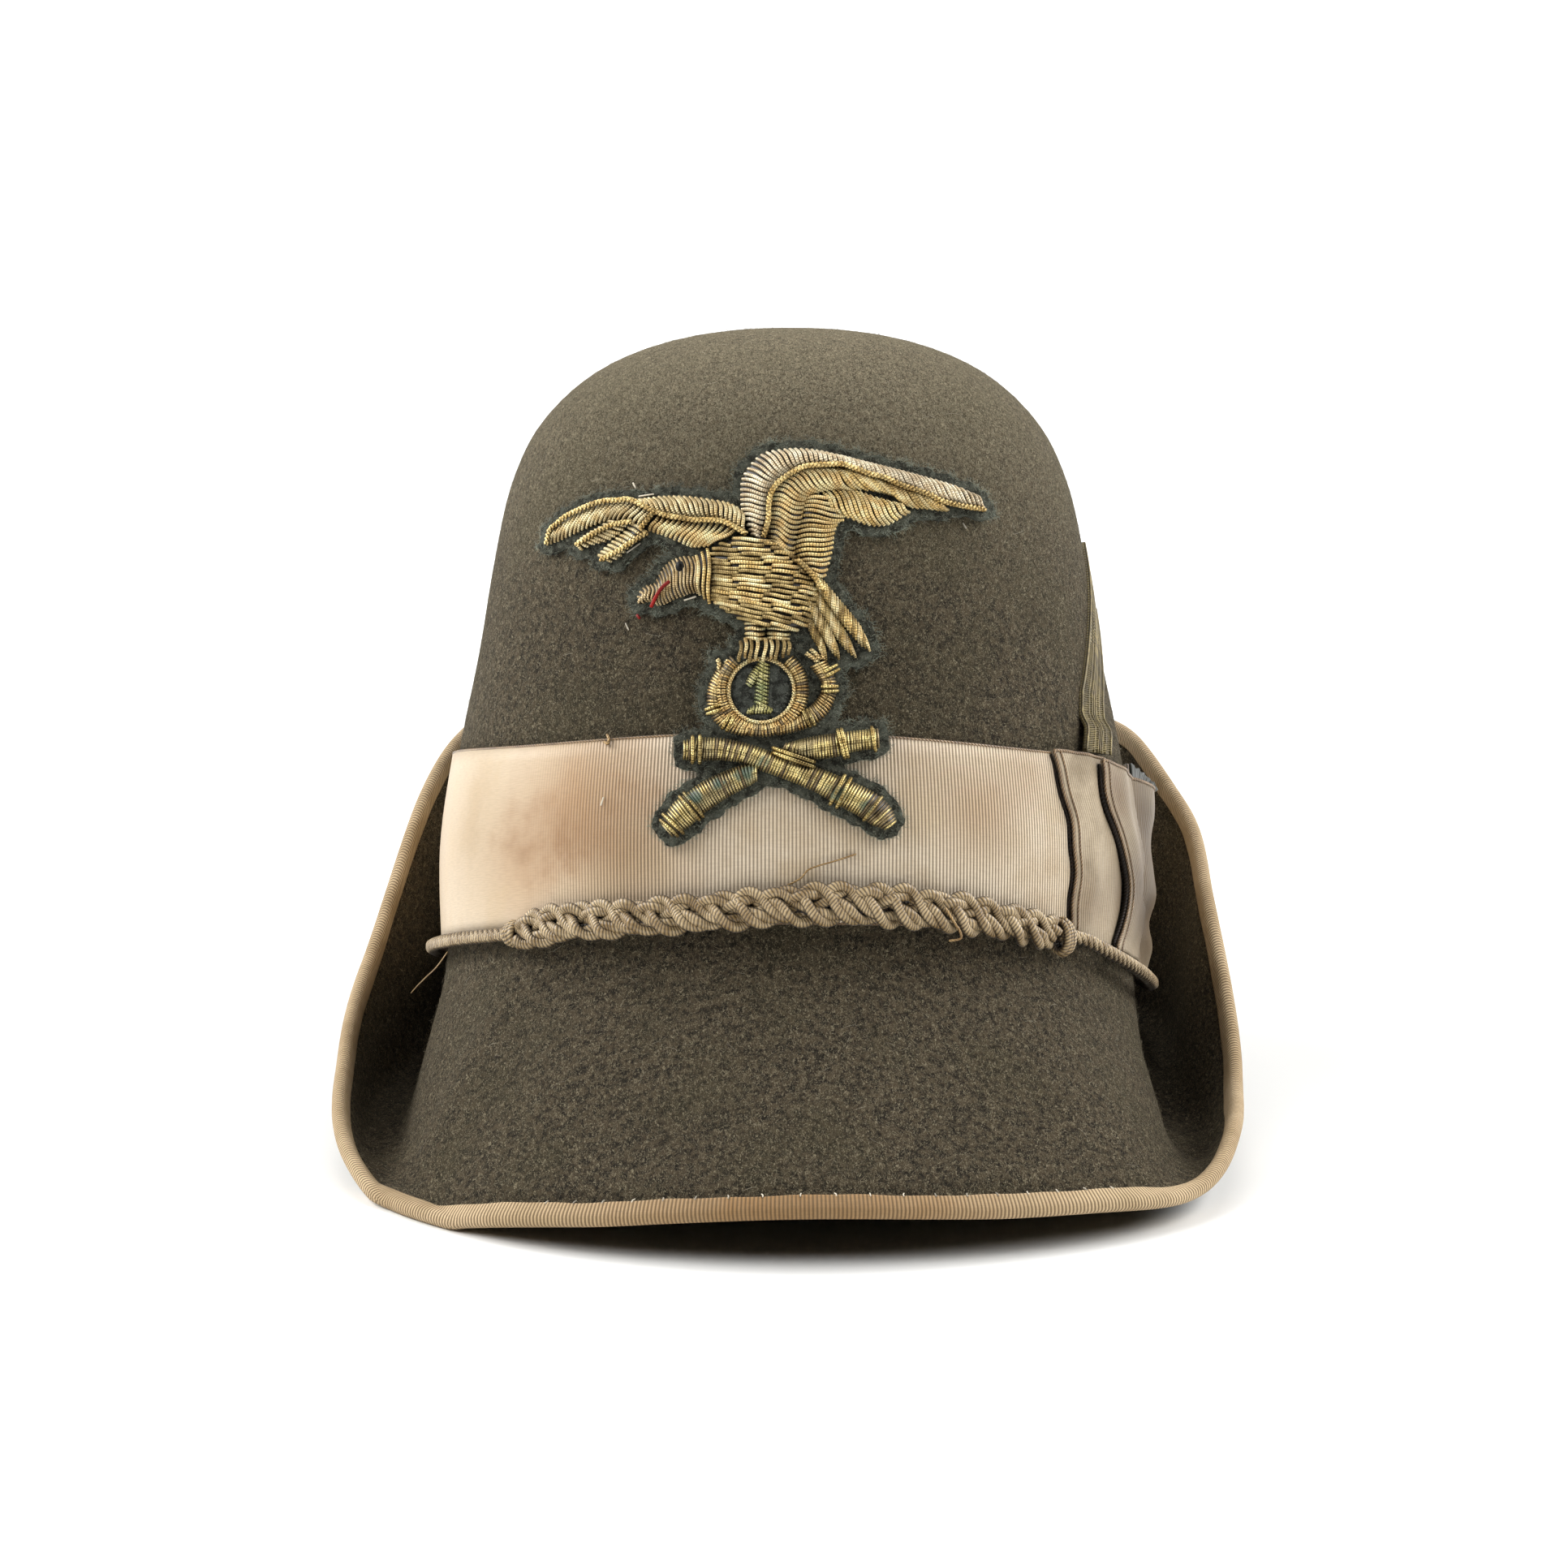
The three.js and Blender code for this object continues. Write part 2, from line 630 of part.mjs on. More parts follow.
function joinAll(geometries) {
  return fromSolid(geometries.map(toSolid).reduce((sum, solid) => sum.add(solid)));
}

// Materials
function cloth(color, roughness = 0.95) {
  return new THREE.MeshStandardMaterial({ color, roughness, metalness: 0 });
}

function wire(color) {
  return new THREE.MeshStandardMaterial({ color, roughness: 0.4, metalness: 0.8 });
}

const hat = new THREE.Group();

function addPiece(name, geometry, material) {
  geometry.computeVertexNormals();
  const mesh = new THREE.Mesh(geometry, material);
  mesh.name = name;
  hat.add(mesh);
}

const azimuths = Array.from({ length: azimuthSteps }, (_, index) => -180 + (360 * index) / azimuthSteps);

// How far out along the brim a section step lies: the steps are shared out before, across and after the fold
const stepsToFold = 3;
const stepsOverFold = 4;
const stepsPastFold = 2;
const brimSteps = stepsToFold + stepsOverFold + stepsPastFold;

function brimStation(azimuth, step) {
  const row = brimRow(azimuth);
  const end = row.width - bindingFlap;
  const foldStart = Math.min(row.fold - row.arc / 2, 0.65 * end);
  const foldEnd = Math.min(row.fold + row.arc / 2, 0.9 * end);
  if (step <= stepsToFold) {
    return (foldStart * step) / stepsToFold;
  }
  if (step <= stepsToFold + stepsOverFold) {
    return foldStart + ((foldEnd - foldStart) * (step - stepsToFold)) / stepsOverFold;
  }
  return end - ((end - foldEnd) * (brimSteps - step)) / stepsPastFold;
}

// The felt: crown and brim in one, open below
function feltBody() {
  const crownStations = [8.85, 8.4, 7.7, 7, 6, 4.7, 3.4, 2.2, 1, 0];
  const feltEdge = (azimuth) => brimRow(azimuth).width - ribbon - gap;
  const brimStations = span(1, brimSteps, brimSteps - 1).map((step) => (azimuth) => -brimStation(azimuth, step));
  const stations = crownStations.map((station) => () => station);
  stations.push(...brimStations, (azimuth) => -feltEdge(azimuth));
  const ringAt = (station, lift) => azimuths.map((azimuth) => facePoint(azimuth, station(azimuth), lift));
  const pinchAt = (index) => (index >= stations.length - 2 ? edgePinch : 0);
  const outside = stations.map((station, index) => ringAt(station, -pinchAt(index)));
  const inside = stations.map((station, index) => ringAt(station, pinchAt(index) - feltThickness));
  return skin([...outside, ...inside.reverse()]);
}

// The binding: a ribbon folded over the brim's edge
function brimBinding() {
  const above = gap - edgePinch;
  const below = edgePinch - feltThickness - gap;
  const outline = [
    { fromEdge: bindingFlap, lift: above },
    { fromEdge: ribbon, lift: above },
    { fromEdge: ribbon, lift: below },
    { fromEdge: bindingFlap, lift: below },
    { fromEdge: bindingFlap, lift: below - ribbon },
    { fromEdge: ribbon + gap, lift: below - ribbon },
    { fromEdge: 0, lift: -feltThickness / 2 },
    { fromEdge: ribbon + gap, lift: above + ribbon },
    { fromEdge: bindingFlap, lift: above + ribbon },
  ];
  const ringAt = ({ fromEdge, lift }) => {
    return azimuths.map((azimuth) => facePoint(azimuth, fromEdge - brimRow(azimuth).width, lift));
  };
  return skin(outline.map(ringAt), true);
}

function bandEdges(azimuth) {
  const u = rowAtAzimuth(azimuth, bandTable, bandRowSpacing);
  return [readTable(bandTable, 'bottom', u, true), readTable(bandTable, 'top', u, true)];
}

// The band: a ribbon round the crown
function hatBand() {
  const sections = azimuths.map((azimuth) => {
    const heights = span(...bandEdges(azimuth), 2);
    const outer = heights.map((height) => wallPoint(azimuth, height, bandLift + ribbon));
    const inner = heights.map((height) => wallPoint(azimuth, height, bandLift));
    return [...outer, ...inner.reverse()];
  });
  return skin(sections, true);
}

// A pleat of the band: a fold of ribbon that stands out in the middle and tucks under at its far edge
function pleat(row) {
  const sections = span(0, 1, 5).map((across) => {
    const points = span(0, 1, 4).map((down) => {
      const azimuth = THREE.MathUtils.lerp(row.foldTop, row.foldBottom, down) + row.turn * across;
      const height = THREE.MathUtils.lerp(row.top, row.bottom, down);
      const uneven = 1 + pleatWave.depth * (Math.sin(pleatWave.turn * down) - 1);
      const swell = row.puff * Math.sin(Math.PI * across) * uneven;
      return { azimuth, height, lift: THREE.MathUtils.lerp(row.lift, tuckedLift, across) + swell };
    });
    const outer = points.map(({ azimuth, height, lift }) => wallPoint(azimuth, height, lift + ribbon));
    const inner = points.map(({ azimuth, height, lift }) => wallPoint(azimuth, height, lift));
    return [...outer, ...inner.reverse()];
  });
  return skin(sections);
}

// The scrap of lining
function liningScrap() {
  const sections = span(0, 1, 3).map((part) => {
    const azimuth = THREE.MathUtils.lerp(scrap.azimuthFrom, scrap.azimuthTo, part);
    const top = THREE.MathUtils.lerp(scrap.topFrom, scrap.topTo, part);
    const edges = [[scrap.bottom, scrap.bottomLift], [top, scrap.topLift]];
    const outer = edges.map(([height, lift]) => wallPoint(azimuth, height, lift + scrapThickness));
    const inner = edges.map(([height, lift]) => wallPoint(azimuth, height, lift));
    return [...outer, ...inner.reverse()];
  });
  return skin(sections);
}

// A section with rounded sides, round a point of the wall
function roundSection(azimuth, height, lift, halfHeight, halfThickness, sides) {
  return Array.from({ length: sides }, (_, index) => {
    const turn = (2 * Math.PI * (index + 0.5)) / sides;
    return wallPoint(azimuth, height + halfHeight * Math.cos(turn), lift + halfThickness * Math.sin(turn));
  });
}

// The plait: its edges swell once for each crossing of its strands
function frontPlait() {
  const sections = span(0, plaitTable.length - 1, plaitSteps).map((u, index) => {
    const azimuth = readTable(plaitTable, 'azimuth', u);
    const height = readTable(plaitTable, 'height', u);
    const half = readTable(plaitTable, 'halfHeight', u) + (index % 2 ? plaitSwell : -plaitSwell);
    return roundSection(azimuth, height, plaitLift + plaitThickness / 2, half, plaitThickness / 2, 6);
  });
  return skin(sections);
}

// A few turns of cord round the plait's end, with rounded ends
function cordWrap({ azimuth, height, halfHeight }) {
  const halfThickness = plaitThickness / 2;
  const middle = plaitLift + halfThickness;
  const sections = wrapProfile.map(({ turn, part }) => {
    return roundSection(azimuth + turn, height, middle, halfHeight * part, halfThickness * part, 8);
  });
  return skin(sections);
}

function sideCord() {
  const sections = span(0, cordTable.length - 1, cordSteps).map((u) => {
    const columns = ['azimuth', 'height', 'lift'];
    const [azimuth, height, lift] = columns.map((column) => readTable(cordTable, column, u));
    return roundSection(azimuth, height, lift, cordRadius, cordRadius, 6);
  });
  return skin(sections);
}

// The lace: two arms that meet at the top
function rankLace() {
  const rows = laceTable.slice(1).flatMap((to, index) => {
    const parts = span(0, 1, laceSteps).slice(index ? 1 : 0);
    return parts.map((part) => (column) => THREE.MathUtils.lerp(laceTable[index][column], to[column], part));
  });
  const sections = rows.map((row) => {
    const points = span(0, 1, 2).map((across) => ({
      azimuth: THREE.MathUtils.lerp(row('outerAzimuth'), row('innerAzimuth'), across),
      height: THREE.MathUtils.lerp(row('outerHeight'), row('innerHeight'), across),
    }));
    const lifted = (lift) => {
      return points.map(({ azimuth, height }) => wallPoint(azimuth, height, lift + laceLift(height)));
    };
    return [...lifted(ribbon), ...lifted(0).reverse()];
  });
  return skin(sections);
}

// The lace's lower ends lie on the band's upper edge
function laceLift(height) {
  return 2 * gap + laceRise.lift * smoothStep((laceRise.from - height) / (laceRise.from - laceRise.to));
}

// Badge
function badgeLift(z) {
  return backingLift + bandRise.lift * smoothStep((bandRise.from - z) / (bandRise.from - bandRise.to));
}

// The two edges of a strip, as a field's rows
function stripRows(rows) {
  return rows.map((row, index) => {
    const before = rows[Math.max(index - 1, 0)];
    const after = rows[Math.min(index + 1, rows.length - 1)];
    const along = new THREE.Vector2(after.x - before.x, after.z - before.z).normalize();
    const across = new THREE.Vector2(-along.y, along.x).multiplyScalar(row.halfWidth);
    return { ax: row.x + across.x, az: row.z + across.y, bx: row.x - across.x, bz: row.z - across.y };
  });
}

// Rows whose edges and ends are moved outwards by a border
function widenedRows(rows, border) {
  const wider = rows.map((row) => {
    const across = new THREE.Vector2(row.bx - row.ax, row.bz - row.az).setLength(border);
    return { ax: row.ax - across.x, az: row.az - across.y, bx: row.bx + across.x, bz: row.bz + across.y };
  });
  const pushed = (row, next) => {
    const shift = new THREE.Vector2(row.ax + row.bx - next.ax - next.bx, row.az + row.bz - next.az - next.bz);
    shift.setLength(border);
    return { ax: row.ax + shift.x, az: row.az + shift.y, bx: row.bx + shift.x, bz: row.bz + shift.y };
  };
  const last = wider.length - 1;
  return [pushed(wider[0], wider[1]), ...wider.slice(1, last), pushed(wider[last], wider[last - 1])];
}

const narrowField = 7.6; // a field up to this wide has fewer facets across it

// A body over the rows' area, flat or domed, from one lift above the badge's ground to another
function reliefBody(rows, bottom, thickness, dome) {
  const wide = rows.some((row) => Math.hypot(row.bx - row.ax, row.bz - row.az) > narrowField);
  const sections = rows.map((row) => {
    const point = (across, lift) => {
      const x = THREE.MathUtils.lerp(row.ax, row.bx, across);
      const z = THREE.MathUtils.lerp(row.az, row.bz, across);
      return frontPoint(x, z, badgeLift(z) + lift);
    };
    const places = wide ? [0, 0.2, 0.5, 0.8, 1] : [0, 0.5, 1];
    const under = wide ? [1, 0.5, 0] : [1, 0];
    const top = places.map((across) => {
      return point(across, bottom + thickness + dome * Math.sqrt(1 - (2 * across - 1) ** 2));
    });
    return [...top, ...under.map((across) => point(across, bottom))];
  });
  return skin(sections);
}

// A round of rows about the disc's centre, each from the outer to the inner edge
function ringRows(radius, halfWidth) {
  return span(ringFrom, ringTo, 14).map((degrees) => {
    const turn = toRadians(degrees);
    const outer = radius + halfWidth;
    const inner = radius - halfWidth;
    return {
      ax: discCentre.x + outer * Math.sin(turn),
      az: discCentre.z + outer * Math.cos(turn),
      bx: discCentre.x + inner * Math.sin(turn),
      bz: discCentre.z + inner * Math.cos(turn),
    };
  });
}

function discRows(radius) {
  return span(-0.96, 0.96, 6).map((part) => {
    const half = radius * Math.sqrt(1 - part * part);
    const z = discCentre.z + radius * part;
    return { ax: discCentre.x - half, az: z, bx: discCentre.x + half, bz: z };
  });
}

function fieldOf(strip) {
  return { rise: strip.rise, rows: stripRows(strip.rows) };
}

const eagleFields = [...wingFields, ...bodyFields, ...tailStrips.map(fieldOf)];
const hornFields = [{ rise: 1.8, rows: ringRows(ringRadius, ringHalfWidth) }, ...hornStrips.map(fieldOf)];
const barrelFields = barrelTable.map(fieldOf);
const discField = { rise: 0, rows: discRows(discRadius) };

// How far a place in the front view lies outside a field, or inside it below zero
function distanceToField(x, z, rows) {
  const outline = rows.map((row) => new THREE.Vector2(row.ax, row.az));
  outline.push(...rows.map((row) => new THREE.Vector2(row.bx, row.bz)).reverse());
  const place = new THREE.Vector2(x, z);
  let nearest = Infinity;
  let inside = false;
  outline.forEach((corner, index) => {
    const next = outline[(index + 1) % outline.length];
    const side = next.clone().sub(corner);
    const offset = place.clone().sub(corner);
    const along = THREE.MathUtils.clamp(offset.dot(side) / side.lengthSq(), 0, 1);
    nearest = Math.min(nearest, offset.clone().addScaledVector(side, -along).length());
    const crosses = corner.y > z !== next.y > z;
    if (crosses && x < corner.x + ((z - corner.y) / side.y) * side.x) {
      inside = !inside;
    }
  });
  return inside ? -nearest : nearest;
}

// The backing: a sheet of felt cut out round the embroidery, meshed on a square grid in the front view
function badgeBacking() {
  const fields = [...eagleFields, ...hornFields, ...barrelFields, discField];
  const distance = (x, z) => {
    return Math.min(...fields.map(({ rows }) => distanceToField(x, z, rows))) - backingBorder;
  };
  const columns = Math.round((badgeArea.right - badgeArea.left) / backingCell);
  const lines = Math.round((badgeArea.top - badgeArea.bottom) / backingCell);
  const xs = span(badgeArea.left, badgeArea.right, columns);
  const zs = span(badgeArea.bottom, badgeArea.top, lines);
  const level = xs.map((x) => zs.map((z) => distance(x, z)));
  const places = [];
  const known = new Map();
  const placeAt = (key, x, z) => {
    if (!known.has(key)) {
      known.set(key, places.push([x, z]) - 1);
    }
    return known.get(key);
  };
  const nodeAt = ([i, j]) => placeAt(`${i} ${j}`, xs[i], zs[j]);
  const crossingAt = (one, two) => {
    const [[i, j], [k, l]] = [one, two].sort((a, b) => a[0] - b[0] || a[1] - b[1]);
    const part = THREE.MathUtils.clamp(level[i][j] / (level[i][j] - level[k][l]), 0.15, 0.85);
    const x = THREE.MathUtils.lerp(xs[i], xs[k], part);
    return placeAt(`${i} ${j} ${k} ${l}`, x, THREE.MathUtils.lerp(zs[j], zs[l], part));
  };
  const faces = [];
  const rims = [];
  for (let i = 0; i < xs.length - 1; i++) {
    for (let j = 0; j < zs.length - 1; j++) {
      const corners = [[i, j], [i + 1, j], [i + 1, j + 1], [i, j + 1]];
      const inside = corners.map(([k, l]) => level[k][l] < 0);
      const polygon = [];
      corners.forEach((corner, index) => {
        const after = (index + 1) % 4;
        if (inside[index]) {
          polygon.push({ place: nodeAt(corner) });
        }
        if (inside[index] !== inside[after]) {
          polygon.push({ place: crossingAt(corner, corners[after]), leaves: inside[index] });
        }
      });
      for (let index = 1; index < polygon.length - 1; index++) {
        faces.push([polygon[0].place, polygon[index].place, polygon[index + 1].place]);
      }
      polygon.forEach((point, index) => {
        if (point.leaves) {
          rims.push([point.place, polygon[(index + 1) % polygon.length].place]);
        }
      });
    }
  }
  const layer = (lift) => places.flatMap(([x, z]) => frontPoint(x, z, badgeLift(z) + lift).toArray());
  const count = places.length;
  const indices = faces.flatMap(([a, b, c]) => [a, b, c, count + a, count + c, count + b]);
  indices.push(...rims.flatMap(([a, b]) => [a, count + a, count + b, a, count + b, b]));
  const geometry = new THREE.BufferGeometry();
  const positions = [...layer(backingThickness), ...layer(0)];
  geometry.setAttribute('position', new THREE.Float32BufferAttribute(positions, 3));
  geometry.setIndex(indices);
  return geometry;
}

// Embroidery: laid wire over padding
const embroideryLift = backingThickness + gap;
const edgeThickness = 0.5; // of the embroidery along its rim
const spread = 0.4; // neighbouring fields of wire run into each other by this much

function embroidered(fields) {
  return joinAll(
    fields.map(({ rows, rise }) => {
      return reliefBody(widenedRows(rows, spread), embroideryLift, edgeThickness, rise - edgeThickness);
    }),
  );
}

function laidBarrel({ rows }) {
  return reliefBody(rows, embroideryLift, edgeThickness, barrelRise - edgeThickness);
}

function numberDisc() {
  return reliefBody(discField.rows, embroideryLift, discThickness, 0);
}

function numeral() {
  const bottom = embroideryLift + discThickness + gap;
  const strokes = numeralStrips.map(({ rows, rise }) => {
    return reliefBody(stripRows(rows), bottom, rise / 2, rise / 2);
  });
  return joinAll(strokes);
}

// The hat, leaning back on its folds
addPiece('felt_body', feltBody(), cloth('#4f493d'));
addPiece('brim_binding', brimBinding(), cloth('#8b7a61'));
addPiece('hat_band', hatBand(), cloth('#b3a28c', 0.7));
pleatTable.forEach((row) => addPiece(row.name, pleat(row), cloth('#a39584', 0.6)));
addPiece('lining_scrap', liningScrap(), cloth('#7d8a86'));
addPiece('front_plait', frontPlait(), cloth('#857356', 0.7));
addPiece('plait_wrap', cordWrap(plaitWrap), cloth('#857356', 0.7));
addPiece('plait_knot', cordWrap(plaitKnot), cloth('#857356', 0.7));
addPiece('side_cord', sideCord(), cloth('#857356', 0.7));
addPiece('rank_lace', rankLace(), wire('#7d6b3c'));
addPiece('badge_backing', badgeBacking(), cloth('#3b423f'));
addPiece('eagle_embroidery', embroidered(eagleFields), wire('#a98d52'));
addPiece('horn_coil', embroidered(hornFields), wire('#a98d52'));
addPiece('number_disc', numberDisc(), cloth('#2c3238'));
addPiece('numeral', numeral(), wire('#8f9a5c'));
barrelTable.forEach((barrel, index) => {
  addPiece(barrel.name, laidBarrel(barrelFields[index]), wire('#9c8450'));
});

hat.rotation.x = -restTilt;
const group = new THREE.Group();
group.add(hat);
group.updateMatrixWorld(true);
const bounds = new THREE.Box3().setFromObject(group, true);
const middle = bounds.getCenter(new THREE.Vector3());
hat.position.set(-middle.x, -middle.y, -bounds.min.z);

export default group;
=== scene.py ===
import math
import random

import bmesh
import bpy
import numpy as np
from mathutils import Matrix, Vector
from mathutils.kdtree import KDTree


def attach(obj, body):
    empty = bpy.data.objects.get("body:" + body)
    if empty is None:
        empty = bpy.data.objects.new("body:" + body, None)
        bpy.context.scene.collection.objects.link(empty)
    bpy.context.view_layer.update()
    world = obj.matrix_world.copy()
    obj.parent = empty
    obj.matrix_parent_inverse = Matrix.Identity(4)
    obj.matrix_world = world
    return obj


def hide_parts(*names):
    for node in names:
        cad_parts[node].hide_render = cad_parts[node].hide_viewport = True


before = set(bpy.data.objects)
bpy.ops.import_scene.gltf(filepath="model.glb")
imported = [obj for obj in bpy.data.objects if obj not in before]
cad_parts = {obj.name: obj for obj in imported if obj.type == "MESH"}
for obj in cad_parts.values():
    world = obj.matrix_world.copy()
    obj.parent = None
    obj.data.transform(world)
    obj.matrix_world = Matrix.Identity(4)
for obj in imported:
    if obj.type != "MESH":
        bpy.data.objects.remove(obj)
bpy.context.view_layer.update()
chance = random.Random(11)
scatter = np.random.default_rng(11)

# The hat's own sizes in millimetres, as in the part's source
hat = {
    "planExponent": 2.2,
    "lengthRatio": 1.245,
    "feltThickness": 2.2,
    "edgePinch": 0.5,
    "foldInset": 1.6,
    "restTilt": math.radians(15.5),
    "tableHeight": -34.6,
    "breakWidth": 14,
    "wallSlope": -88,
    "ribbon": 1.0,
    "gap": 0.3,
    "flap": 5.0,
    "shift": (0.1625, 8.6306, 34.6),  # from the hat's own origin to the frame's
}

# height, half the crown's width
crownTable = [
    (0, 83.5), (24, 84), (48, 80.8), (72, 76.2), (94, 72.7), (113, 68.6), (128, 61.3), (140.5, 47.5),
    (148.2, 27), (150.8, 0),
]

# every 18 degrees from -162: width, where it folds, width of the fold, slopes before and after it
brimTable = [
    (84, 8.5, 14, -84, 79), (84, 8, 14, -84, 79), (83, 9.5, 15, -84, 83.5), (80, 19.5, 18, -82.5, 85.5),
    (77, 41, 22, -76.5, 83), (76, 52.5, 24, -73, 78.5), (76, 65, 26, -65.5, 63), (76, 81.5, 26, -58.5, 70.5),
    (76, 84.5, 28, -57, 67.5), (76, 104, 28, -54.5, 70), (76, 88.5, 28, -54.5, 67.5), (76, 79, 26, -53, 65),
    (76, 63, 26, -64, 69.5), (76, 51.5, 24, -79, 64.5), (77, 31.5, 22, -86, 78.5), (80, 20, 18, -69, 81),
    (83, 9.5, 15, -77.5, 78.5), (84, 8, 14, -84, 79), (84, 8.5, 14, -84, 79), (84, 8.5, 14, -84, 79),
]


# Shape of the hat

def spline(rows, at, closed=False):
    rows = np.asarray(rows, float)
    at = np.asarray(at, float)
    first = np.floor(at).astype(int)
    part = (at - first)[..., None]

    def row(offset):
        index = first + offset
        return rows[index % len(rows)] if closed else rows[np.clip(index, 0, len(rows) - 1)]

    a, b, c, d = row(-1), row(0), row(1), row(2)
    bend = (2 * a - 5 * b + 4 * c - d) * part**2 + (3 * b - a - 3 * c + d) * part**3
    return 0.5 * (2 * b + (c - a) * part + bend)


def smooth(value):
    value = np.clip(value, 0, 1)
    return value * value * (3 - 2 * value)


def unit(vectors):
    return vectors / np.maximum(np.linalg.norm(vectors, axis=-1, keepdims=True), 1e-9)


crownHeights, crownWidths = spline(crownTable, np.linspace(0, len(crownTable) - 1, 1800)).T
crownSlopes = np.gradient(crownWidths, crownHeights)


def crownNormal(x, y, halfWidth, slope):
    power = hat["planExponent"] - 1
    halfLength = halfWidth * hat["lengthRatio"]
    nx = np.sign(x) * np.abs(x / halfWidth) ** power / halfWidth
    ny = np.sign(y) * np.abs(y / halfLength) ** power / halfLength
    return unit(np.stack(np.broadcast_arrays(nx, ny, -slope / halfWidth), -1))


def ovalPoint(azimuth, halfWidth):
    sine, cosine = np.sin(np.radians(azimuth)), np.cos(np.radians(azimuth))
    power = 2 / hat["planExponent"]
    x = halfWidth * np.sign(sine) * np.abs(sine) ** power
    y = -halfWidth * hat["lengthRatio"] * np.sign(cosine) * np.abs(cosine) ** power
    return x, y


def crownFace(azimuth, height, halfWidth=None):
    if halfWidth is None:
        halfWidth = np.interp(height, crownHeights, crownWidths)
    slope = np.interp(height, crownHeights, crownSlopes)
    x, y = ovalPoint(azimuth, halfWidth)
    return np.stack([x, y, height + 0 * x], -1), crownNormal(x, y, halfWidth, slope)


def frontFace(x, z):
    x, z = np.broadcast_arrays(np.asarray(x, float), np.asarray(z, float))
    halfWidth = np.interp(z, crownHeights, crownWidths)
    side = np.abs(x / halfWidth) ** hat["planExponent"]
    y = -halfWidth * hat["lengthRatio"] * (1 - side) ** (1 / hat["planExponent"])
    slope = np.interp(z, crownHeights, crownSlopes)
    return np.stack([x, y, z], -1), crownNormal(x, y, halfWidth, slope)


def brimRows(azimuth):
    return spline(brimTable, ((np.asarray(azimuth, float) + 162) / 18) % len(brimTable), closed=True)


# The brim's visible face, laid out once on a net of azimuths and distances from the crown
turns = np.arange(0, 361)
alongStep = 0.5
alongs = np.arange(0, 90.1, alongStep)


def brimNet():
    width, fold, arc, down, up = (column[:, None] for column in brimRows(turns).T)

    def bendAt(along):
        return smooth((along - fold) / arc + 0.5)

    def slopeAt(along):
        leave = 1 - smooth(along / hat["breakWidth"])
        return np.radians(down + (hat["wallSlope"] - down) * leave + (up - down) * bendAt(along))

    middles = slopeAt(alongs[None, 1:] - alongStep / 2)
    reach = np.pad(np.cumsum(np.cos(middles) * alongStep, 1), ((0, 0), (1, 0)))
    drop = np.pad(np.cumsum(np.sin(middles) * alongStep, 1), ((0, 0), (1, 0)))
    slope, inset = slopeAt(alongs[None]), hat["foldInset"] * bendAt(alongs[None])
    halfWidth = crownWidths[0]
    x, y = ovalPoint(turns, halfWidth)
    outward = crownNormal(x, y, halfWidth, 0)
    net = np.stack([x, y, 0 * x], -1)[:, None] + outward[:, None] * (reach - inset * np.sin(slope))[..., None]
    net[..., 2] = drop + inset * np.cos(slope)
    atEdge = 1 - smooth((width - alongs[None] - hat["flap"]) / hat["flap"])
    clearance = hat["feltThickness"] + (hat["gap"] + hat["ribbon"] - hat["edgePinch"]) * atEdge
    tableNormal = np.array([0, -math.sin(hat["restTilt"]), math.cos(hat["restTilt"])])
    push = np.maximum(0, hat["tableHeight"] + clearance - net @ tableNormal)
    net += push[..., None] * tableNormal
    sideways = np.gradient(net, axis=0)
    sideways[0] = sideways[-1] = net[1] - net[-2]
    return net, unit(np.cross(sideways, np.gradient(net, axis=1)))


brimPoints, brimNormals = brimNet()
if brimNormals[0, 20, 1] > 0:  # in front they point forwards
    brimNormals = -brimNormals


def brimFace(azimuth, along):
    i = np.asarray(azimuth, float) % 360
    j = np.clip(np.asarray(along, float), 0, alongs[-1] - alongStep) / alongStep
    i0, j0 = np.floor(i).astype(int), np.floor(j).astype(int)
    p, q = (i - i0)[..., None], (j - j0)[..., None]

    def blend(net):
        near = net[i0, j0] * (1 - p) + net[i0 + 1, j0] * p
        return near * (1 - q) + (net[i0, j0 + 1] * (1 - p) + net[i0 + 1, j0 + 1] * p) * q

    return blend(brimPoints), unit(blend(brimNormals))


def wallPoint(azimuth, height, lift):
    azimuth, height, lift = np.broadcast_arrays(*(np.asarray(v, float) for v in (azimuth, height, lift)))
    onCrown, crownOut = crownFace(azimuth, np.maximum(height, 0))
    onBrim, brimOut = brimFace(azimuth, np.maximum(-height, 0))
    below = (height < 0)[..., None]
    return np.where(below, onBrim, onCrown) + np.where(below, brimOut, crownOut) * lift[..., None]


def frontPoint(x, z, lift):
    # Lifted off the crown's front, with its place in the front view kept
    _, out = frontFace(x, z)
    point, out = frontFace(x - out[..., 0] * lift, z - out[..., 2] * lift)
    return point + out * np.asarray(lift, float)[..., None], out


def toFrame(points):
    tilt = hat["restTilt"]
    x, y, z = np.moveaxis(np.asarray(points, float), -1, 0)
    sine, cosine = math.sin(tilt), math.cos(tilt)
    turned = np.stack([x, y * cosine + z * sine, z * cosine - y * sine], -1)
    return (turned + hat["shift"]) / 1000


# Camera: as the photograph was taken, from the front and a little above

camera = {"distance": 1150, "aim": (-1.4, 0, 40.5), "elevation": 11.0, "lens": 36 * 5750 / 1932}


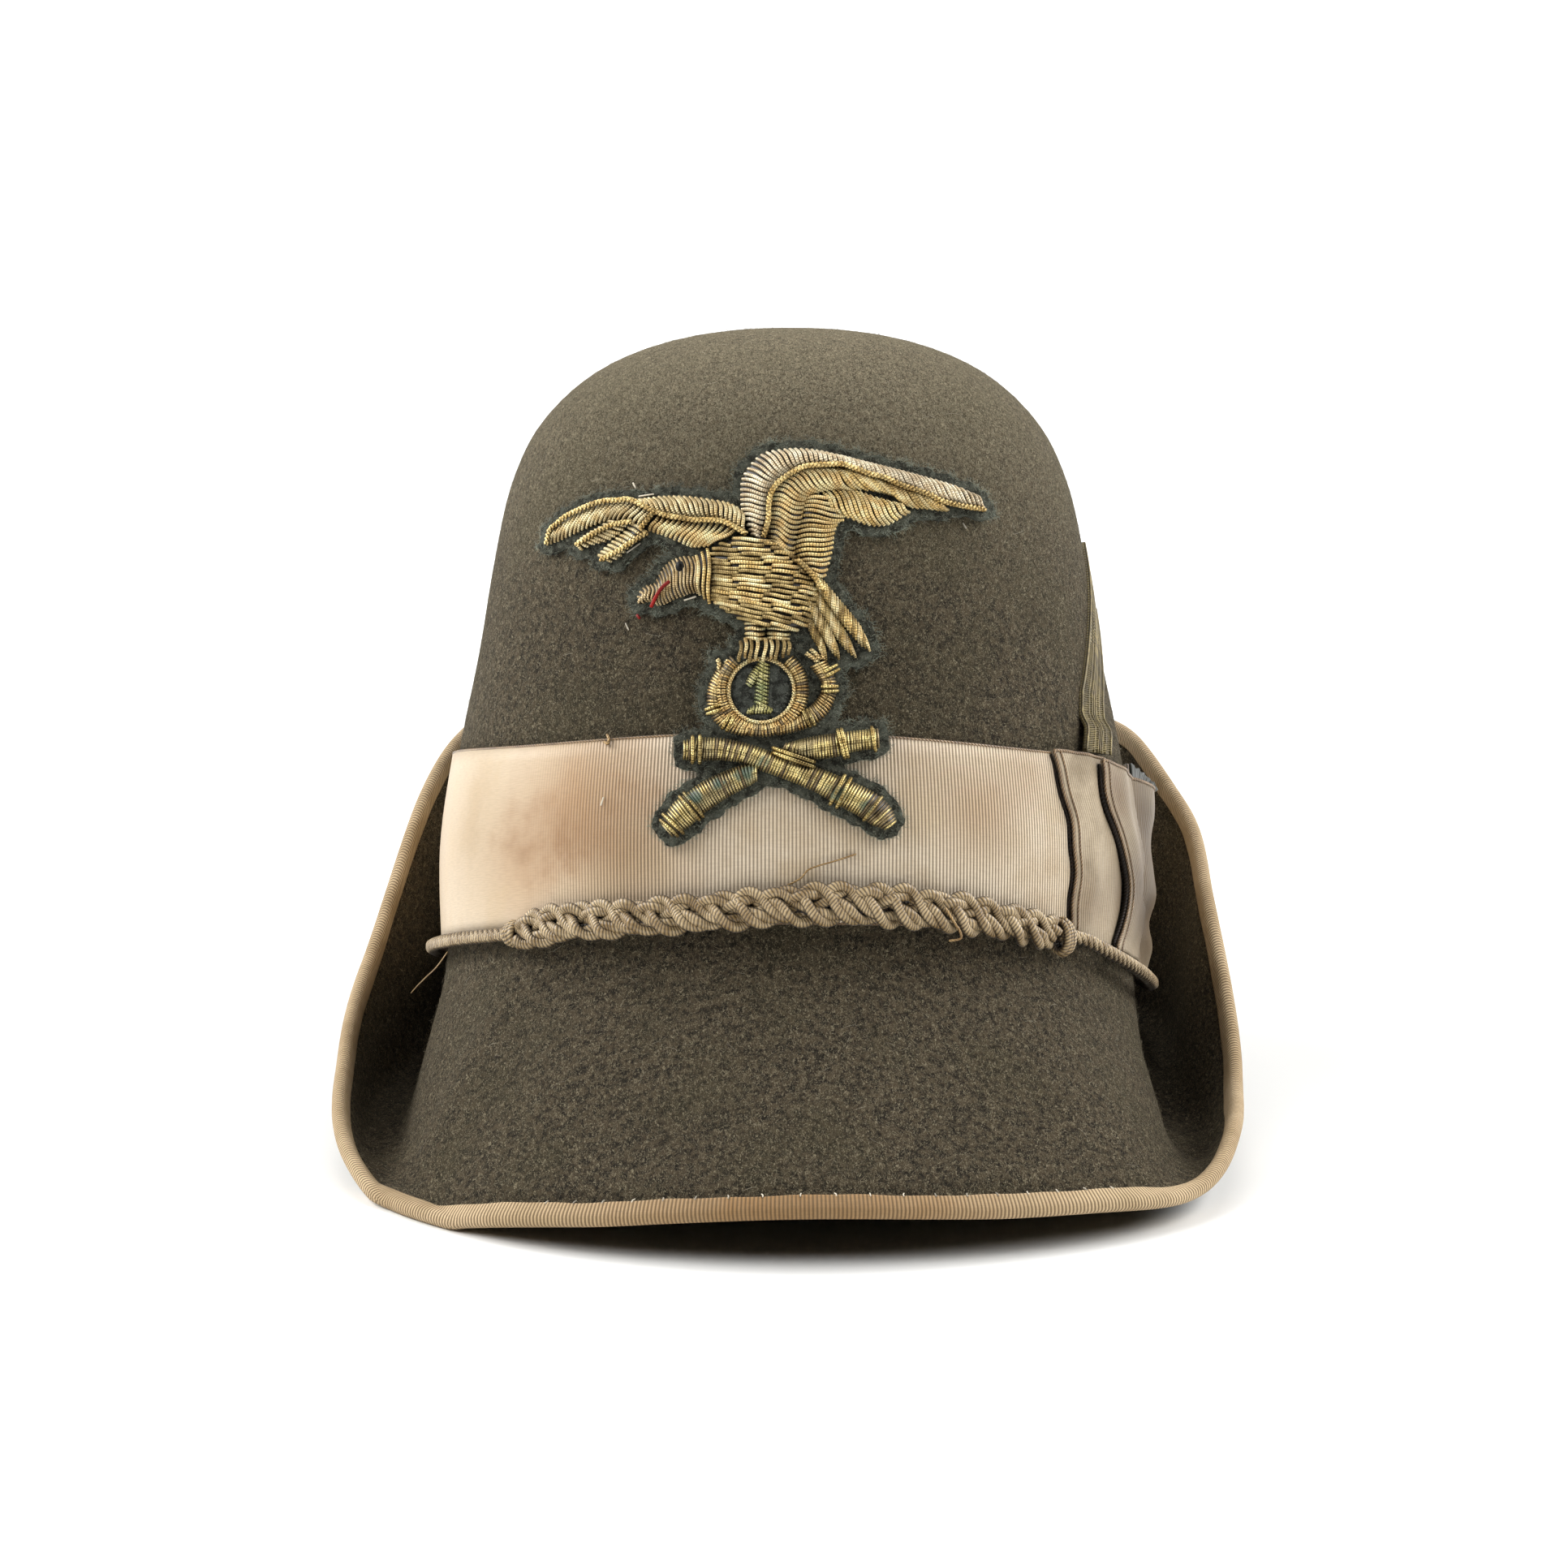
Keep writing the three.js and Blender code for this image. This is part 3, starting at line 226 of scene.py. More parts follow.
def addCamera():
    data = bpy.data.cameras.new("photoCamera")
    data.lens = camera["lens"]
    data.sensor_width = 36
    data.clip_end = 20
    view = bpy.data.objects.new("photoCamera", data)
    bpy.context.scene.collection.objects.link(view)
    rise = math.radians(camera["elevation"])
    away = Vector((0, -math.cos(rise), math.sin(rise)))
    view.location = Vector(toFrame(camera["aim"])) + away * camera["distance"] / 1000
    view.rotation_euler = away.to_track_quat("Z", "Y").to_euler()
    bpy.context.scene.camera = view


addCamera()
print("camera set")


# Mesh helpers

def laySheet(bm, points, measure=None):
    # A grid laid over rows and columns of points, with its UV map in metres
    rows, columns = points.shape[:2]
    uvLayer = bm.loops.layers.uv.verify()
    verts = bmesh.ops.create_grid(bm, x_segments=columns - 1, y_segments=rows - 1, size=0.5)["verts"]
    places = {}
    for vert in verts:
        places[vert] = (round((vert.co.y + 0.5) * (rows - 1)), round((vert.co.x + 0.5) * (columns - 1)))
    for face in {face for vert in verts for face in vert.link_faces}:
        face.smooth = True
        if measure is not None:
            for loop in face.loops:
                loop[uvLayer].uv = measure[places[loop.vert]]
    for vert, place in places.items():
        vert.co = points[place]


def pathLength(path):
    steps = np.linalg.norm(np.diff(path, axis=0), axis=-1)
    return np.concatenate([[0], np.cumsum(steps)])


def uvNet(along, across):
    return np.stack(np.broadcast_arrays(along, across), -1)


def layTube(bm, path, normals, radii, sides=6, flatten=1.0):
    # A closed round body along a path in millimetres, with rounded ends
    path, normals = np.asarray(path, float), np.asarray(normals, float)
    radii = np.broadcast_to(np.asarray(radii, float), (len(path),))
    ahead = unit(np.gradient(path, axis=0))
    side = unit(np.cross(ahead, normals))
    top = unit(np.cross(side, ahead))
    start, end = path[:1] - ahead[:1] * radii[0] * 0.4, path[-1:] + ahead[-1:] * radii[-1] * 0.4
    path = np.concatenate([start, path, end])
    side, top = (np.concatenate([v[:1], v, v[-1:]]) for v in (side, top))
    radii = np.concatenate([[0], radii, [0]])
    angle = np.linspace(0, 2 * math.pi, sides + 1)
    cosine, sine = np.cos(angle)[None, :, None], np.sin(angle)[None, :, None]
    ring = side[:, None] * cosine + top[:, None] * sine * flatten
    points = path[:, None] + ring * radii[:, None, None]
    points[:, -1] = points[:, 0]
    # UV: metres along it, and once round it from 0 to 1 with its top at a quarter
    laySheet(bm, toFrame(points), uvNet(pathLength(path)[:, None] / 1000, angle[None] / (2 * math.pi)))


def addPiece(name, data, material):
    piece = bpy.data.objects.new(name, data)
    bpy.context.scene.collection.objects.link(piece)
    data.materials.append(material)
    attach(piece, "root")
    return piece


def meshPiece(name, bm, material):
    mesh = bpy.data.meshes.new(name)
    bm.to_mesh(mesh)
    bm.free()
    return addPiece(name, mesh, material)


def finishMesh(name, bm, material, closed=True):
    # Welds seams and poles, and turns a closed body's faces outwards
    bmesh.ops.remove_doubles(bm, verts=bm.verts, dist=1e-6)
    if closed:
        bmesh.ops.recalc_face_normals(bm, faces=bm.faces)
    return meshPiece(name, bm, material)


def finishSheet(name, bm, material, thickness, outward):
    # A sheet that looks outward, with its thickness behind the visible face
    bm.normal_update()
    bm.faces.ensure_lookup_table()
    away = Vector(toFrame(outward)) - Vector(toFrame((0, 0, 0)))
    if bm.faces[len(bm.faces) // 2].normal.dot(away) < 0:
        bmesh.ops.reverse_faces(bm, faces=bm.faces)
    piece = meshPiece(name, bm, material)
    solid = piece.modifiers.new("thickness", "SOLIDIFY")
    solid.thickness = thickness / 1000
    solid.offset = -1
    return piece


def sheetPiece(name, points, measure, material, thickness, outward):
    bm = bmesh.new()
    laySheet(bm, toFrame(points), measure / 1000)
    bmesh.ops.remove_doubles(bm, verts=bm.verts, dist=1e-6)
    return finishSheet(name, bm, material, thickness, outward)


# Materials

def colour(code):
    parts = [int(code[i:i + 2], 16) / 255 for i in (1, 3, 5)]
    return tuple(v / 12.92 if v <= 0.04045 else ((v + 0.055) / 1.055) ** 2.4 for v in parts) + (1,)


def addNode(tree, kind, inputs=(), out=0, **settings):
    # One node; its inputs, by name or in order, are values or other nodes' outputs. Gives one of its outputs
    node = tree.nodes.new("ShaderNode" + kind)
    for name, value in settings.items():
        setattr(node, name, value)
    for name, value in inputs.items() if isinstance(inputs, dict) else enumerate(inputs):
        if isinstance(value, bpy.types.NodeSocket):
            tree.links.new(value, node.inputs[name])
        else:
            node.inputs[name].default_value = value
    return node.outputs[out]


def newMaterial(name, **values):
    material = bpy.data.materials.new(name)
    material.use_nodes = True
    shader = material.node_tree.nodes["Principled BSDF"]
    for key, value in values.items():
        shader.inputs[key.replace("_", " ")].default_value = value
    return material, material.node_tree, shader


def dressShader(tree, shader, tone, height, depth, strength=1.0):
    # Colour, and a relief as deep as given in mm
    relief = addNode(tree, "Bump", {"Height": height, "Distance": depth / 1000, "Strength": strength})
    tree.links.new(tone, shader.inputs["Base Color"])
    tree.links.new(relief, shader.inputs["Normal"])


def ribWave(tree, along, pitch, shift=0.0):
    # Rises and falls between 0 and 1, once in each pitch in mm
    wave = addNode(tree, "Math", [along, 2000 * math.pi / pitch, shift], operation="MULTIPLY_ADD")
    wave = addNode(tree, "Math", [wave], operation="SINE")
    return addNode(tree, "Math", [wave, 0.5, 0.5], operation="MULTIPLY_ADD")


def windings(tree, pitch, starts, flanks):
    # Turns of thread or wire round a tube, as a screw of that many starts, and a mask of painted shade on the
    # tube's flanks
    measure = addNode(tree, "TexCoord", out="UV")
    along, turn = (addNode(tree, "SeparateXYZ", [measure], axis) for axis in (0, 1))
    turn = addNode(tree, "Math", [turn, 2 * math.pi], operation="MULTIPLY")
    shift = addNode(tree, "Math", [turn, starts], operation="MULTIPLY")
    side = addNode(tree, "Math", [turn], operation="SINE")
    return ribWave(tree, along, pitch, shift), addNode(tree, "MapRange", [side, *flanks, 0], **soft)


# Settings that many nodes share
tint = {"data_type": "RGBA"}
soft = {"interpolation_type": "SMOOTHSTEP"}

felt = {
    "dark": "#15110b", "middle": "#483e2f", "pale": "#958a70", "green": "#35301f", "faded": "#958b72",
    "nap": "#b3a689",
    "fibre": 0.5, "heather": 1.7, "blotch": 28,  # sizes in mm
    "depth": 0.6,
    "fadeHeights": (0.115, 0.195),  # in metres over the table
}


def feltMaterial():
    # Blocked wool and hair felt: matt, heathered from dark and pale fibres, pale along its edges where the
    # nap stands up. The fibres are drawn coarser than real hair, which is too fine to show
    material, tree, shader = newMaterial(
        "Wool_Felt", Roughness=1.0, Specular_IOR_Level=0.2, Sheen_Weight=0.2, Sheen_Roughness=0.35,
        Sheen_Tint=colour(felt["nap"]))
    place = addNode(tree, "TexCoord", out="Object")
    stretched = addNode(tree, "Mapping", {
        "Vector": place, "Rotation": (0.4, 0.2, 0.7), "Scale": (1, 0.45, 0.8)})
    fibres = addNode(tree, "TexNoise", {
        "Vector": stretched, "Scale": 1000 / felt["fibre"], "Detail": 3, "Roughness": 0.75,
        "Distortion": 1.6})
    grain = addNode(tree, "TexNoise", {
        "Vector": place, "Scale": 1000 / felt["heather"], "Detail": 4, "Roughness": 0.7})
    blotches = addNode(tree, "TexNoise", {"Vector": place, "Scale": 1000 / felt["blotch"], "Detail": 3})
    wool = colour(felt["dark"])
    for noise, spread, key in ((grain, (0.4, 0.6), "middle"), (blotches, (0.42, 0.7, 0, 0.5), "green"),
                               (fibres, (0.5, 0.68, 0, 0.85), "pale")):
        mask = addNode(tree, "MapRange", [noise, *spread], **soft)
        wool = addNode(tree, "Mix", {0: mask, 6: wool, 7: colour(felt[key])}, 2, **tint)
    # faded towards the crown's top, where light and dust reach it
    dusty = addNode(tree, "MapRange", [fibres, 0.4, 0.62, 0.15, 0.8], **soft)
    faded = addNode(tree, "Mix", {0: dusty, 6: wool, 7: colour(felt["faded"])}, 2, **tint)
    height = addNode(tree, "SeparateXYZ", [place], 2)
    upward = addNode(tree, "MapRange", [height, *felt["fadeHeights"]], **soft)
    wool = addNode(tree, "Mix", {0: upward, 6: wool, 7: faded}, 2, **tint)
    dressShader(tree, shader, wool, addNode(tree, "Math", [fibres, grain], operation="ADD"), felt["depth"])
    return material


def hairMaterial(name, code):
    # Loose hair that stands out of the felt: pale and slightly glossy
    material, tree, shader = newMaterial(name, Roughness=0.6)
    place = addNode(tree, "TexCoord", out="Object")
    noise = addNode(tree, "TexNoise", {"Vector": place, "Scale": 160})
    shade = addNode(tree, "MapRange", [noise, 0.35, 0.65, 0.4, 1], **soft)
    tone = addNode(tree, "Mix", {0: shade, 6: (0, 0, 0, 1), 7: colour(code)}, 2, **tint)
    tree.links.new(tone, shader.inputs["Base Color"])
    return material


def ribbonMaterial(name, look):
    # Ribbed silk ribbon: ribs of the look's pitch in mm across it, painted shade in the grooves between them,
    # a soft sheen, and stains, some of which are painted shade. A weave finer than 0.8 mm is too fine to show
    # and is left to the sheen
    gloss = look.get("gloss", 0.3)
    material, tree, shader = newMaterial(
        name, Roughness=look["roughness"], Specular_IOR_Level=gloss, Sheen_Weight=0.3 * gloss)
    place = addNode(tree, "TexCoord", out="Object")
    measure = addNode(tree, "TexCoord", out="UV")
    rib = ribWave(tree, addNode(tree, "SeparateXYZ", [measure], 0), look["pitch"])
    if "calm" in look:
        # the ribs are worn flat towards one end
        across = addNode(tree, "SeparateXYZ", [place], 0)
        calm = addNode(tree, "MapRange", [across, *look["calm"], 1, 0], **soft)
        rib = addNode(tree, "Mix", {0: calm, 2: rib, 3: 0.55})
    threads = addNode(tree, "Mapping", {"Vector": measure, "Scale": (0.25, 3, 1)})
    weft = addNode(tree, "TexNoise", {"Vector": threads, "Scale": 1250, "Detail": 2})
    wear = addNode(tree, "TexNoise", {"Vector": place, "Scale": 62, "Detail": 4, "Roughness": 0.6})
    worn = addNode(tree, "MapRange", [wear, 0.35, 0.7], **soft)
    silk = addNode(tree, "Mix", {0: worn, 6: colour(look["pale"]), 7: colour(look["worn"])}, 2, **tint)
    for azimuth, height, size, strength, code in look.get("stainsAndShade", []):
        centre, size = toFrame(wallPoint(azimuth, height, 1.5)), size / 1000
        far = addNode(tree, "VectorMath", [place, centre], "Value", operation="DISTANCE")
        ragged = addNode(tree, "Math", [wear, size, far], operation="MULTIPLY_ADD")
        mask = addNode(tree, "MapRange", [ragged, size * 0.4, size * 1.5, strength, 0], **soft)
        silk = addNode(tree, "Mix", {0: mask, 6: silk, 7: colour(code)}, 2, blend_type="MULTIPLY", **tint)
    # painted shade in the grooves between the ribs, and darker streaks of the weft
    for value, spread in ((rib, (0.0, 0.75, look["darkening"], 0)), (weft, (0.3, 0.75, 0, 0.16))):
        darkening = addNode(tree, "MapRange", [value, *spread], **soft)
        silk = addNode(tree, "Mix", {0: darkening, 6: silk, 7: colour(look["groove"])}, 2, **tint)
    height = addNode(tree, "Math", [weft, 0.25, rib], operation="MULTIPLY_ADD")
    dressShader(tree, shader, silk, height, look["depth"], 0.8)
    return material


def cordMaterial(name, codes, pitch, depth=0.12, gloss=0.5):
    # Silk thread wound closely round a core in a steep screw, its top lighter and its third colour painted
    # shade between the turns and on the flanks
    material, tree, shader = newMaterial(
        name, Roughness=0.38, Specular_IOR_Level=gloss, Sheen_Weight=0.2 * gloss)
    thread, flank = windings(tree, pitch, 3, (0.0, 0.85, 0.9))
    place = addNode(tree, "TexCoord", out="Object")
    wear = addNode(tree, "TexNoise", {"Vector": place, "Scale": 250, "Detail": 3})
    worn = addNode(tree, "MapRange", [wear, 0.35, 0.68], **soft)
    # painted shade between the thread's turns
    darkening = addNode(tree, "MapRange", [thread, 0, 0.8, 0.75, 0], **soft)
    silk = colour(codes[0])
    for mask, code in ((worn, codes[1]), (darkening, codes[2]), (flank, codes[2])):
        silk = addNode(tree, "Mix", {0: mask, 6: silk, 7: colour(code)}, 2, **tint)
    dressShader(tree, shader, silk, thread, depth)
    return material


# green corrosion, in mm: lift of its spots' centres, how far wear moves their edges, their reach for each mm
# of their size and beyond that, and how soft their edges are
corrosion = {"code": "#0d4a44", "lift": 2.5, "ragged": 6, "reach": (0.9, 2.2), "soft": 2, "strength": 0.8}


def wireMaterial(name, codes, pitch, depth=0.12, roughness=0.36, metallic=0.7, spots=()):
    # Gilt wire coiled to a fine tube: metal, browned in patches, with the coil as fine rings, painted shade
    # between the coil's turns and on the flanks between one wire and the next, and green spots where it has
    # corroded
    material, tree, shader = newMaterial(name, Roughness=roughness, Metallic=metallic)
    coil, flank = windings(tree, pitch, 0, (-0.2, 0.6, 0.8))
    place = addNode(tree, "TexCoord", out="Object")
    wear = addNode(tree, "TexNoise", {"Vector": place, "Scale": 400, "Detail": 4, "Roughness": 0.65})
    patch = addNode(tree, "TexNoise", {"Vector": place, "Scale": 130, "Detail": 2})
    worn = addNode(tree, "MapRange", [wear, 0.38, 0.62], **soft)
    brown = addNode(tree, "MapRange", [patch, 0.45, 0.65, 0, 0.6], **soft)
    # painted shade between the coil's turns
    paintedShade = addNode(tree, "MapRange", [coil, 0, 0.7, 0.5, 0], **soft)
    gilt = colour(codes[0])
    for mask, code in ((worn, codes[1]), (brown, codes[2]), (paintedShade, codes[3]), (flank, codes[3])):
        gilt = addNode(tree, "Mix", {0: mask, 6: gilt, 7: colour(code)}, 2, **tint)
    shine = metallic
    for x, z, size in spots:
        centre = toFrame(onBadge((x, z), corrosion["lift"])[0])
        far = addNode(tree, "VectorMath", [place, centre], "Value", operation="DISTANCE")
        ragged = addNode(tree, "Math", [wear, corrosion["ragged"] / 1000, far], operation="MULTIPLY_ADD")
        slope, start = corrosion["reach"]
        edge = (size * slope + start) / 1000
        fade = [edge, edge + corrosion["soft"] / 1000, corrosion["strength"], 0]
        mask = addNode(tree, "MapRange", [ragged, *fade], **soft)
        gilt = addNode(tree, "Mix", {0: mask, 6: gilt, 7: colour(corrosion["code"])}, 2, **tint)
        shine = addNode(tree, "Math", [shine, mask], operation="SUBTRACT", use_clamp=True)
        tree.links.new(shine, shader.inputs["Metallic"])
    dressShader(tree, shader, gilt, coil, depth)
    return material


feltCloth = feltMaterial()
print("felt material made")


# Felt body: crown and brim in one, smooth, with the photograph's soft bends

feltShape = {
    "steps": (200, 60, 64),  # round it, down the crown, along the brim
    # azimuth, distance along the brim, height of the swelling, its reach round and along
    "swellings": [(-47, 42, 1.6, 5, 30), (-38, 40, -0.9, 7, 34), (66, 40, 0.8, 5, 14), (-58, 66, 0.9, 4, 9)],
}


def feltLift(azimuth, along):
    turned = (azimuth + 180) % 360 - 180
    lift = 0 * azimuth * along
    for at, out, height, reachRound, reachAlong in feltShape["swellings"]:
        far = ((turned - at) / reachRound) ** 2 + ((along - out) / reachAlong) ** 2
        lift = lift + height * np.exp(-far)
    return lift


def feltNet(turnSteps, crownSteps, brimSteps):
    # Points and normals of the visible face from the crown's top to the brim's edge
    azimuth = np.linspace(-180, 180, turnSteps + 1)
    rows = (len(crownTable) - 1) * (1 - np.linspace(0, 1, crownSteps) ** 0.8)
    height, halfWidth = spline(crownTable, rows).T
    halfWidth = np.maximum(halfWidth, 0.001)
    crown, crownOut = crownFace(azimuth[None], height[:, None], halfWidth[:, None])
    crownOut[0] = (0, 0, 1)
    edge = brimRows(azimuth)[:, 0] - hat["ribbon"] - hat["gap"]
    along = np.linspace(0, 1, brimSteps + 1)[1:, None] * edge[None]
    brim, brimOut = brimFace(np.broadcast_to(azimuth, along.shape), along)
    fade = smooth(along / 20) * smooth((edge[None] - along) / 12 + 0.4)
    brim = brim + brimOut * (feltLift(azimuth[None], along) * fade)[..., None]
    # the felt is pressed thinner under the binding
    pressed = smooth((along - edge[None] + 8) / 4) * hat["edgePinch"]
    pinch = np.concatenate([np.zeros(crown.shape[:2]), pressed])
    return np.concatenate([crown, brim]), np.concatenate([crownOut, brimOut]), pinch


def makeFelt():
    points, normals, pinch = feltNet(*feltShape["steps"])
    outside = points - normals * pinch[..., None]
    inside = points + normals * (pinch[..., None] - hat["feltThickness"])
    bm = bmesh.new()
    laySheet(bm, toFrame(np.concatenate([outside, inside[::-1]])))
    piece = finishMesh("feltCrownAndBrim", bm, feltCloth)
    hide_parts("felt_body")


makeFelt()
print("felt made")


# Loose hairs on the felt

hairs = {
    "count": 22000, "long": 420, "width": 0.02, "steps": (360, 160, 150),
    "shortest": 0.5, "longer": 1.6,  # lengths in mm, and what the long ones have more
    "looks": [("Pale_Hair", "#91856c"), ("White_Hair", "#c4baa2")],
    # how far a hair swings to a side, how far it stands up, the curve in which it does, and its root's lift
    "swing": 0.5, "stand": (0.05, 0.35), "curl": 2.6, "root": 0.05,
}


def hairCurves(name, starts, directions, normals, lengths, width, material, slot):
    data = bpy.data.curves.new(name, "CURVE")
    data.dimensions = "3D"
    data.extrude = width / 1000
    for start, ahead, out, length in zip(starts, directions, normals, lengths):
        line = data.splines.new("POLY")
        line.points.add(3)
        swing = np.cross(out, ahead) * chance.uniform(-hairs["swing"], hairs["swing"])
        stand = chance.uniform(*hairs["stand"])
        flat = []
        for part in (0, 0.33, 0.67, 1):
            point = start + (ahead * part + swing * part * part) * length
            point = point + out * (hairs["root"] + stand * math.sin(part * hairs["curl"]) * length)
            flat.extend((*toFrame(point), 1))
        line.points.foreach_set("co", flat)
    addPiece(name, data, material)


def makeHairs():
    points, normals, _ = feltNet(*hairs["steps"])
    steps = np.linalg.norm(np.diff(points[:, :-1], axis=0), axis=-1)
    breadth = np.linalg.norm(np.diff(points[:-1], axis=1), axis=-1)
    area = steps * breadth
    count = hairs["count"]
    pick = scatter.choice(area.size, count + hairs["long"], p=(area / area.sum()).ravel())
    row, column = np.unravel_index(pick, area.shape)
    jitter = scatter.random((len(pick), 2, 1))
    here = points[row, column] + (points[row + 1, column] - points[row, column]) * jitter[:, 0]
    here = here + (points[row, column + 1] - points[row, column]) * jitter[:, 1]
    out = normals[row, column]
    ahead = unit(np.cross(out, scatter.normal(size=out.shape)))
    lengths = hairs["shortest"] + scatter.gamma(2.0, 0.4, len(pick))
    lengths[count:] += hairs["longer"]
    pale, light = (hairMaterial(name, code) for name, code in hairs["looks"])
    for name, part, cloth in (
            ("feltHairs", slice(0, count), pale), ("longHairs", slice(count, None), light)):
        strands = (here[part], ahead[part], out[part], lengths[part])
        hairCurves(name, *strands, hairs["width"], cloth, "wool_felt")


makeHairs()
print("hairs made")


# Binding of the brim's edge

binding = {
    "pale": "#dcc29c", "worn": "#c0a680", "groove": "#58462f", "pitch": 0.9, "depth": 0.3, "darkening": 0.75,
    "roughness": 0.7, "gloss": 0.15, "steps": 360,
    # browned in front, where it is held: azimuth, height, size, strength, colour, as for all stains
    "stainsAndShade": [(0, -60, 80, 0.95, "#a88c62")],
    # half of the folded ribbon's section, from its cut edge to the brim's edge: distance from that, and lift
    "fold": [(5.0, 0.35), (4.85, 0.85), (4.3, 0.98), (3.0, 1.0), (1.8, 0.95), (0.8, 0.6)],
    # the same inside the fold, against the felt
    "lining": [(4.8, 0), (1.4, 0)],
}
bindingCloth = ribbonMaterial("Ribbed_Binding", binding)


def makeBinding():
    azimuth = np.linspace(-180, 180, binding["steps"] + 1)
    above, below = hat["gap"] - hat["edgePinch"], hat["edgePinch"] - hat["feltThickness"] - hat["gap"]
    middle = -hat["feltThickness"] / 2
    fold, lining = binding["fold"], binding["lining"]
    section = [(far, above + lift) for far, lift in fold]
    section += [(0.2, middle + 0.7), (0, middle), (0.2, middle - 0.7)]
    section += [(far, below - lift) for far, lift in fold[::-1]]
    section += [(far, below + lift) for far, lift in lining]
    section += [(far, above + lift) for far, lift in lining[::-1]]
    section.append(section[0])
    width = brimRows(azimuth)[:, 0]
    ripple = 0.16 * np.sin(np.radians(azimuth) * 23) + 0.1 * np.sin(np.radians(azimuth) * 61 + 1)
    rows = []
    for fromEdge, lift in section:
        point, out = brimFace(azimuth, width - fromEdge - ripple * smooth((fromEdge - 3) / 2))
        rows.append(point + out * lift)
    points = np.array(rows)
    points[:, -1] = points[:, 0]
    bm = bmesh.new()
    measure = uvNet(pathLength(points[7])[None], pathLength(points[:, 0])[:, None])
    laySheet(bm, toFrame(points), measure / 1000)
    piece = finishMesh("bindingRibbon", bm, bindingCloth)
    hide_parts("brim_binding")


makeBinding()
print("binding made")


# Band and its pleats

band = {
    "pale": "#ebdac0", "worn": "#d5bf9e", "groove": "#6b5a48", "pitch": 0.87, "depth": 0.26, "darkening": 0.72,
    "roughness": 0.5, "calm": (-0.064, -0.03),
    # every 45 degrees from -135: heights of its lower and its upper edge
    "table": [(1.5, 47.5), (0.5, 47), (0.3, 43.2), (1, 43.6), (0.5, 41.6), (1, 45), (1.5, 47.5), (1.5, 47.5)],
    "dip": 6.0,
    "faces": (1.5, 0.55),  # lifts of its outer and its inner face
    "selvedgeCodes": ("#a3845c", "#7d6244", "#46341f"),
    "stainsAndShade": [
        # the two broad ones at -58 and -86 degrees are painted shade over the band's left end; the others are
        # stains
        (-32, 30, 34, 0.85, "#bd9c72"), (-44, 15, 24, 0.5, "#cba87c"), (-24, 17, 26, 0.7, "#c5ab88"),
        (-58, 24, 44, 0.7, "#c0b29c"), (-86, 24, 44, 0.85, "#b9a486"), (28, 27, 18, 0.55, "#b8935f"),
        (18, 36, 16, 0.3, "#b99a70"), (38, 36, 14, 0.4, "#bfa078"),
    ],
}
bandCloth = ribbonMaterial("Ribbed_Silk_Band", band)
selvedge = cordMaterial("Woven_Selvedge", band["selvedgeCodes"], 0.9, 0.15)


def bandEdges(azimuth):
    edges = spline(band["table"], ((azimuth + 135) / 45) % len(band["table"]), closed=True)
    # its top is drawn down behind the pleats
    return edges - np.stack([0 * azimuth, band["dip"] * np.exp(-(((azimuth - 69) / 10) ** 2))], -1)


def makeBand():
    azimuth = np.linspace(-180, 180, 361)
    bottom, top = bandEdges(azimuth).T
    parts = np.linspace(0, 1, 13)
    heights = bottom[None] + (top - bottom)[None] * parts[:, None]
    outer, inner = (wallPoint(azimuth[None], heights, lift) for lift in band["faces"])
    across = np.concatenate([parts, 1 + parts, [2.1]]) * 44
    bm = bmesh.new()
    measure = uvNet(pathLength(outer[6])[None], across[:, None]) / 1000
    laySheet(bm, toFrame(np.concatenate([outer, inner[::-1], outer[:1]])), measure)
    piece = finishMesh("ribbonBand", bm, bandCloth)
    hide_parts("hat_band")
    bm = bmesh.new()
    for edge, lift in ((top - 0.1, 1.3), (bottom + 0.1, 1.25)):
        line = wallPoint(azimuth, edge, lift)
        layTube(bm, line, unit(line - wallPoint(azimuth, edge, 0)), 0.36)
    finishMesh("bandSelvedges", bm, selvedge)


makeBand()

pleats = {
    "look": {
        "pale": "#c2b197", "worn": "#93836a", "groove": "#3b3126", "pitch": 0.8, "depth": 0.1, "darkening": 0.35,
        "roughness": 0.4, "gloss": 0.15,
        "stainsAndShade": [
            # these stains also paint shade, darkening pleats 2 and 3
            (76, 17, 42, 0.95, "#8e7c60"), (51, 8, 12, 0.6, "#9c8566"), (60, 34, 15, 0.8, "#8c7350"),
            (64, 12, 17, 0.8, "#84705a"), (75, 32, 20, 0.8, "#83735c"), (74, 6, 22, 0.8, "#7c6c58"),
        ],
    },
    # node, degrees taken up, height at the top and how much lower it ends at its far side, the same for
    # its bottom, lift of the fold, swelling
    "rows": [
        ("pleat_1", 15, 41.8, 0.4, 0.6, 4.0, 2.0, 0.5), ("pleat_2", 17, 40.5, 2.2, -3.2, 3.0, 4.0, 0.9),
        ("pleat_3", 21, 38.8, 4.5, -5.8, 1.5, 1.5, 1.0),
    ],
    # azimuth of each fold, at five places from its top to its bottom
    "folds": [(44, 45.6, 47.2, 47.3, 46.6), (55.6, 56, 61.4, 62.8, 58.2), (71, 69.5, 67.8, 68.5, 72)],
    # how far the last pleat's middle bulges out, at eight places from its top to its bottom
    "bulges": (3.2, 2.4, 0.9, 1.5, 2.4, 0.9, 2.0, 0.3),
    "shadeCodes": ("#2b2118", "#1d1610", "#0c0906"),
}
pleatCloth = ribbonMaterial("Satin_Pleat", pleats["look"])
shadedCloth = cordMaterial("Shaded_Ribbon", pleats["shadeCodes"], 0.9, 0.1, 0.1)


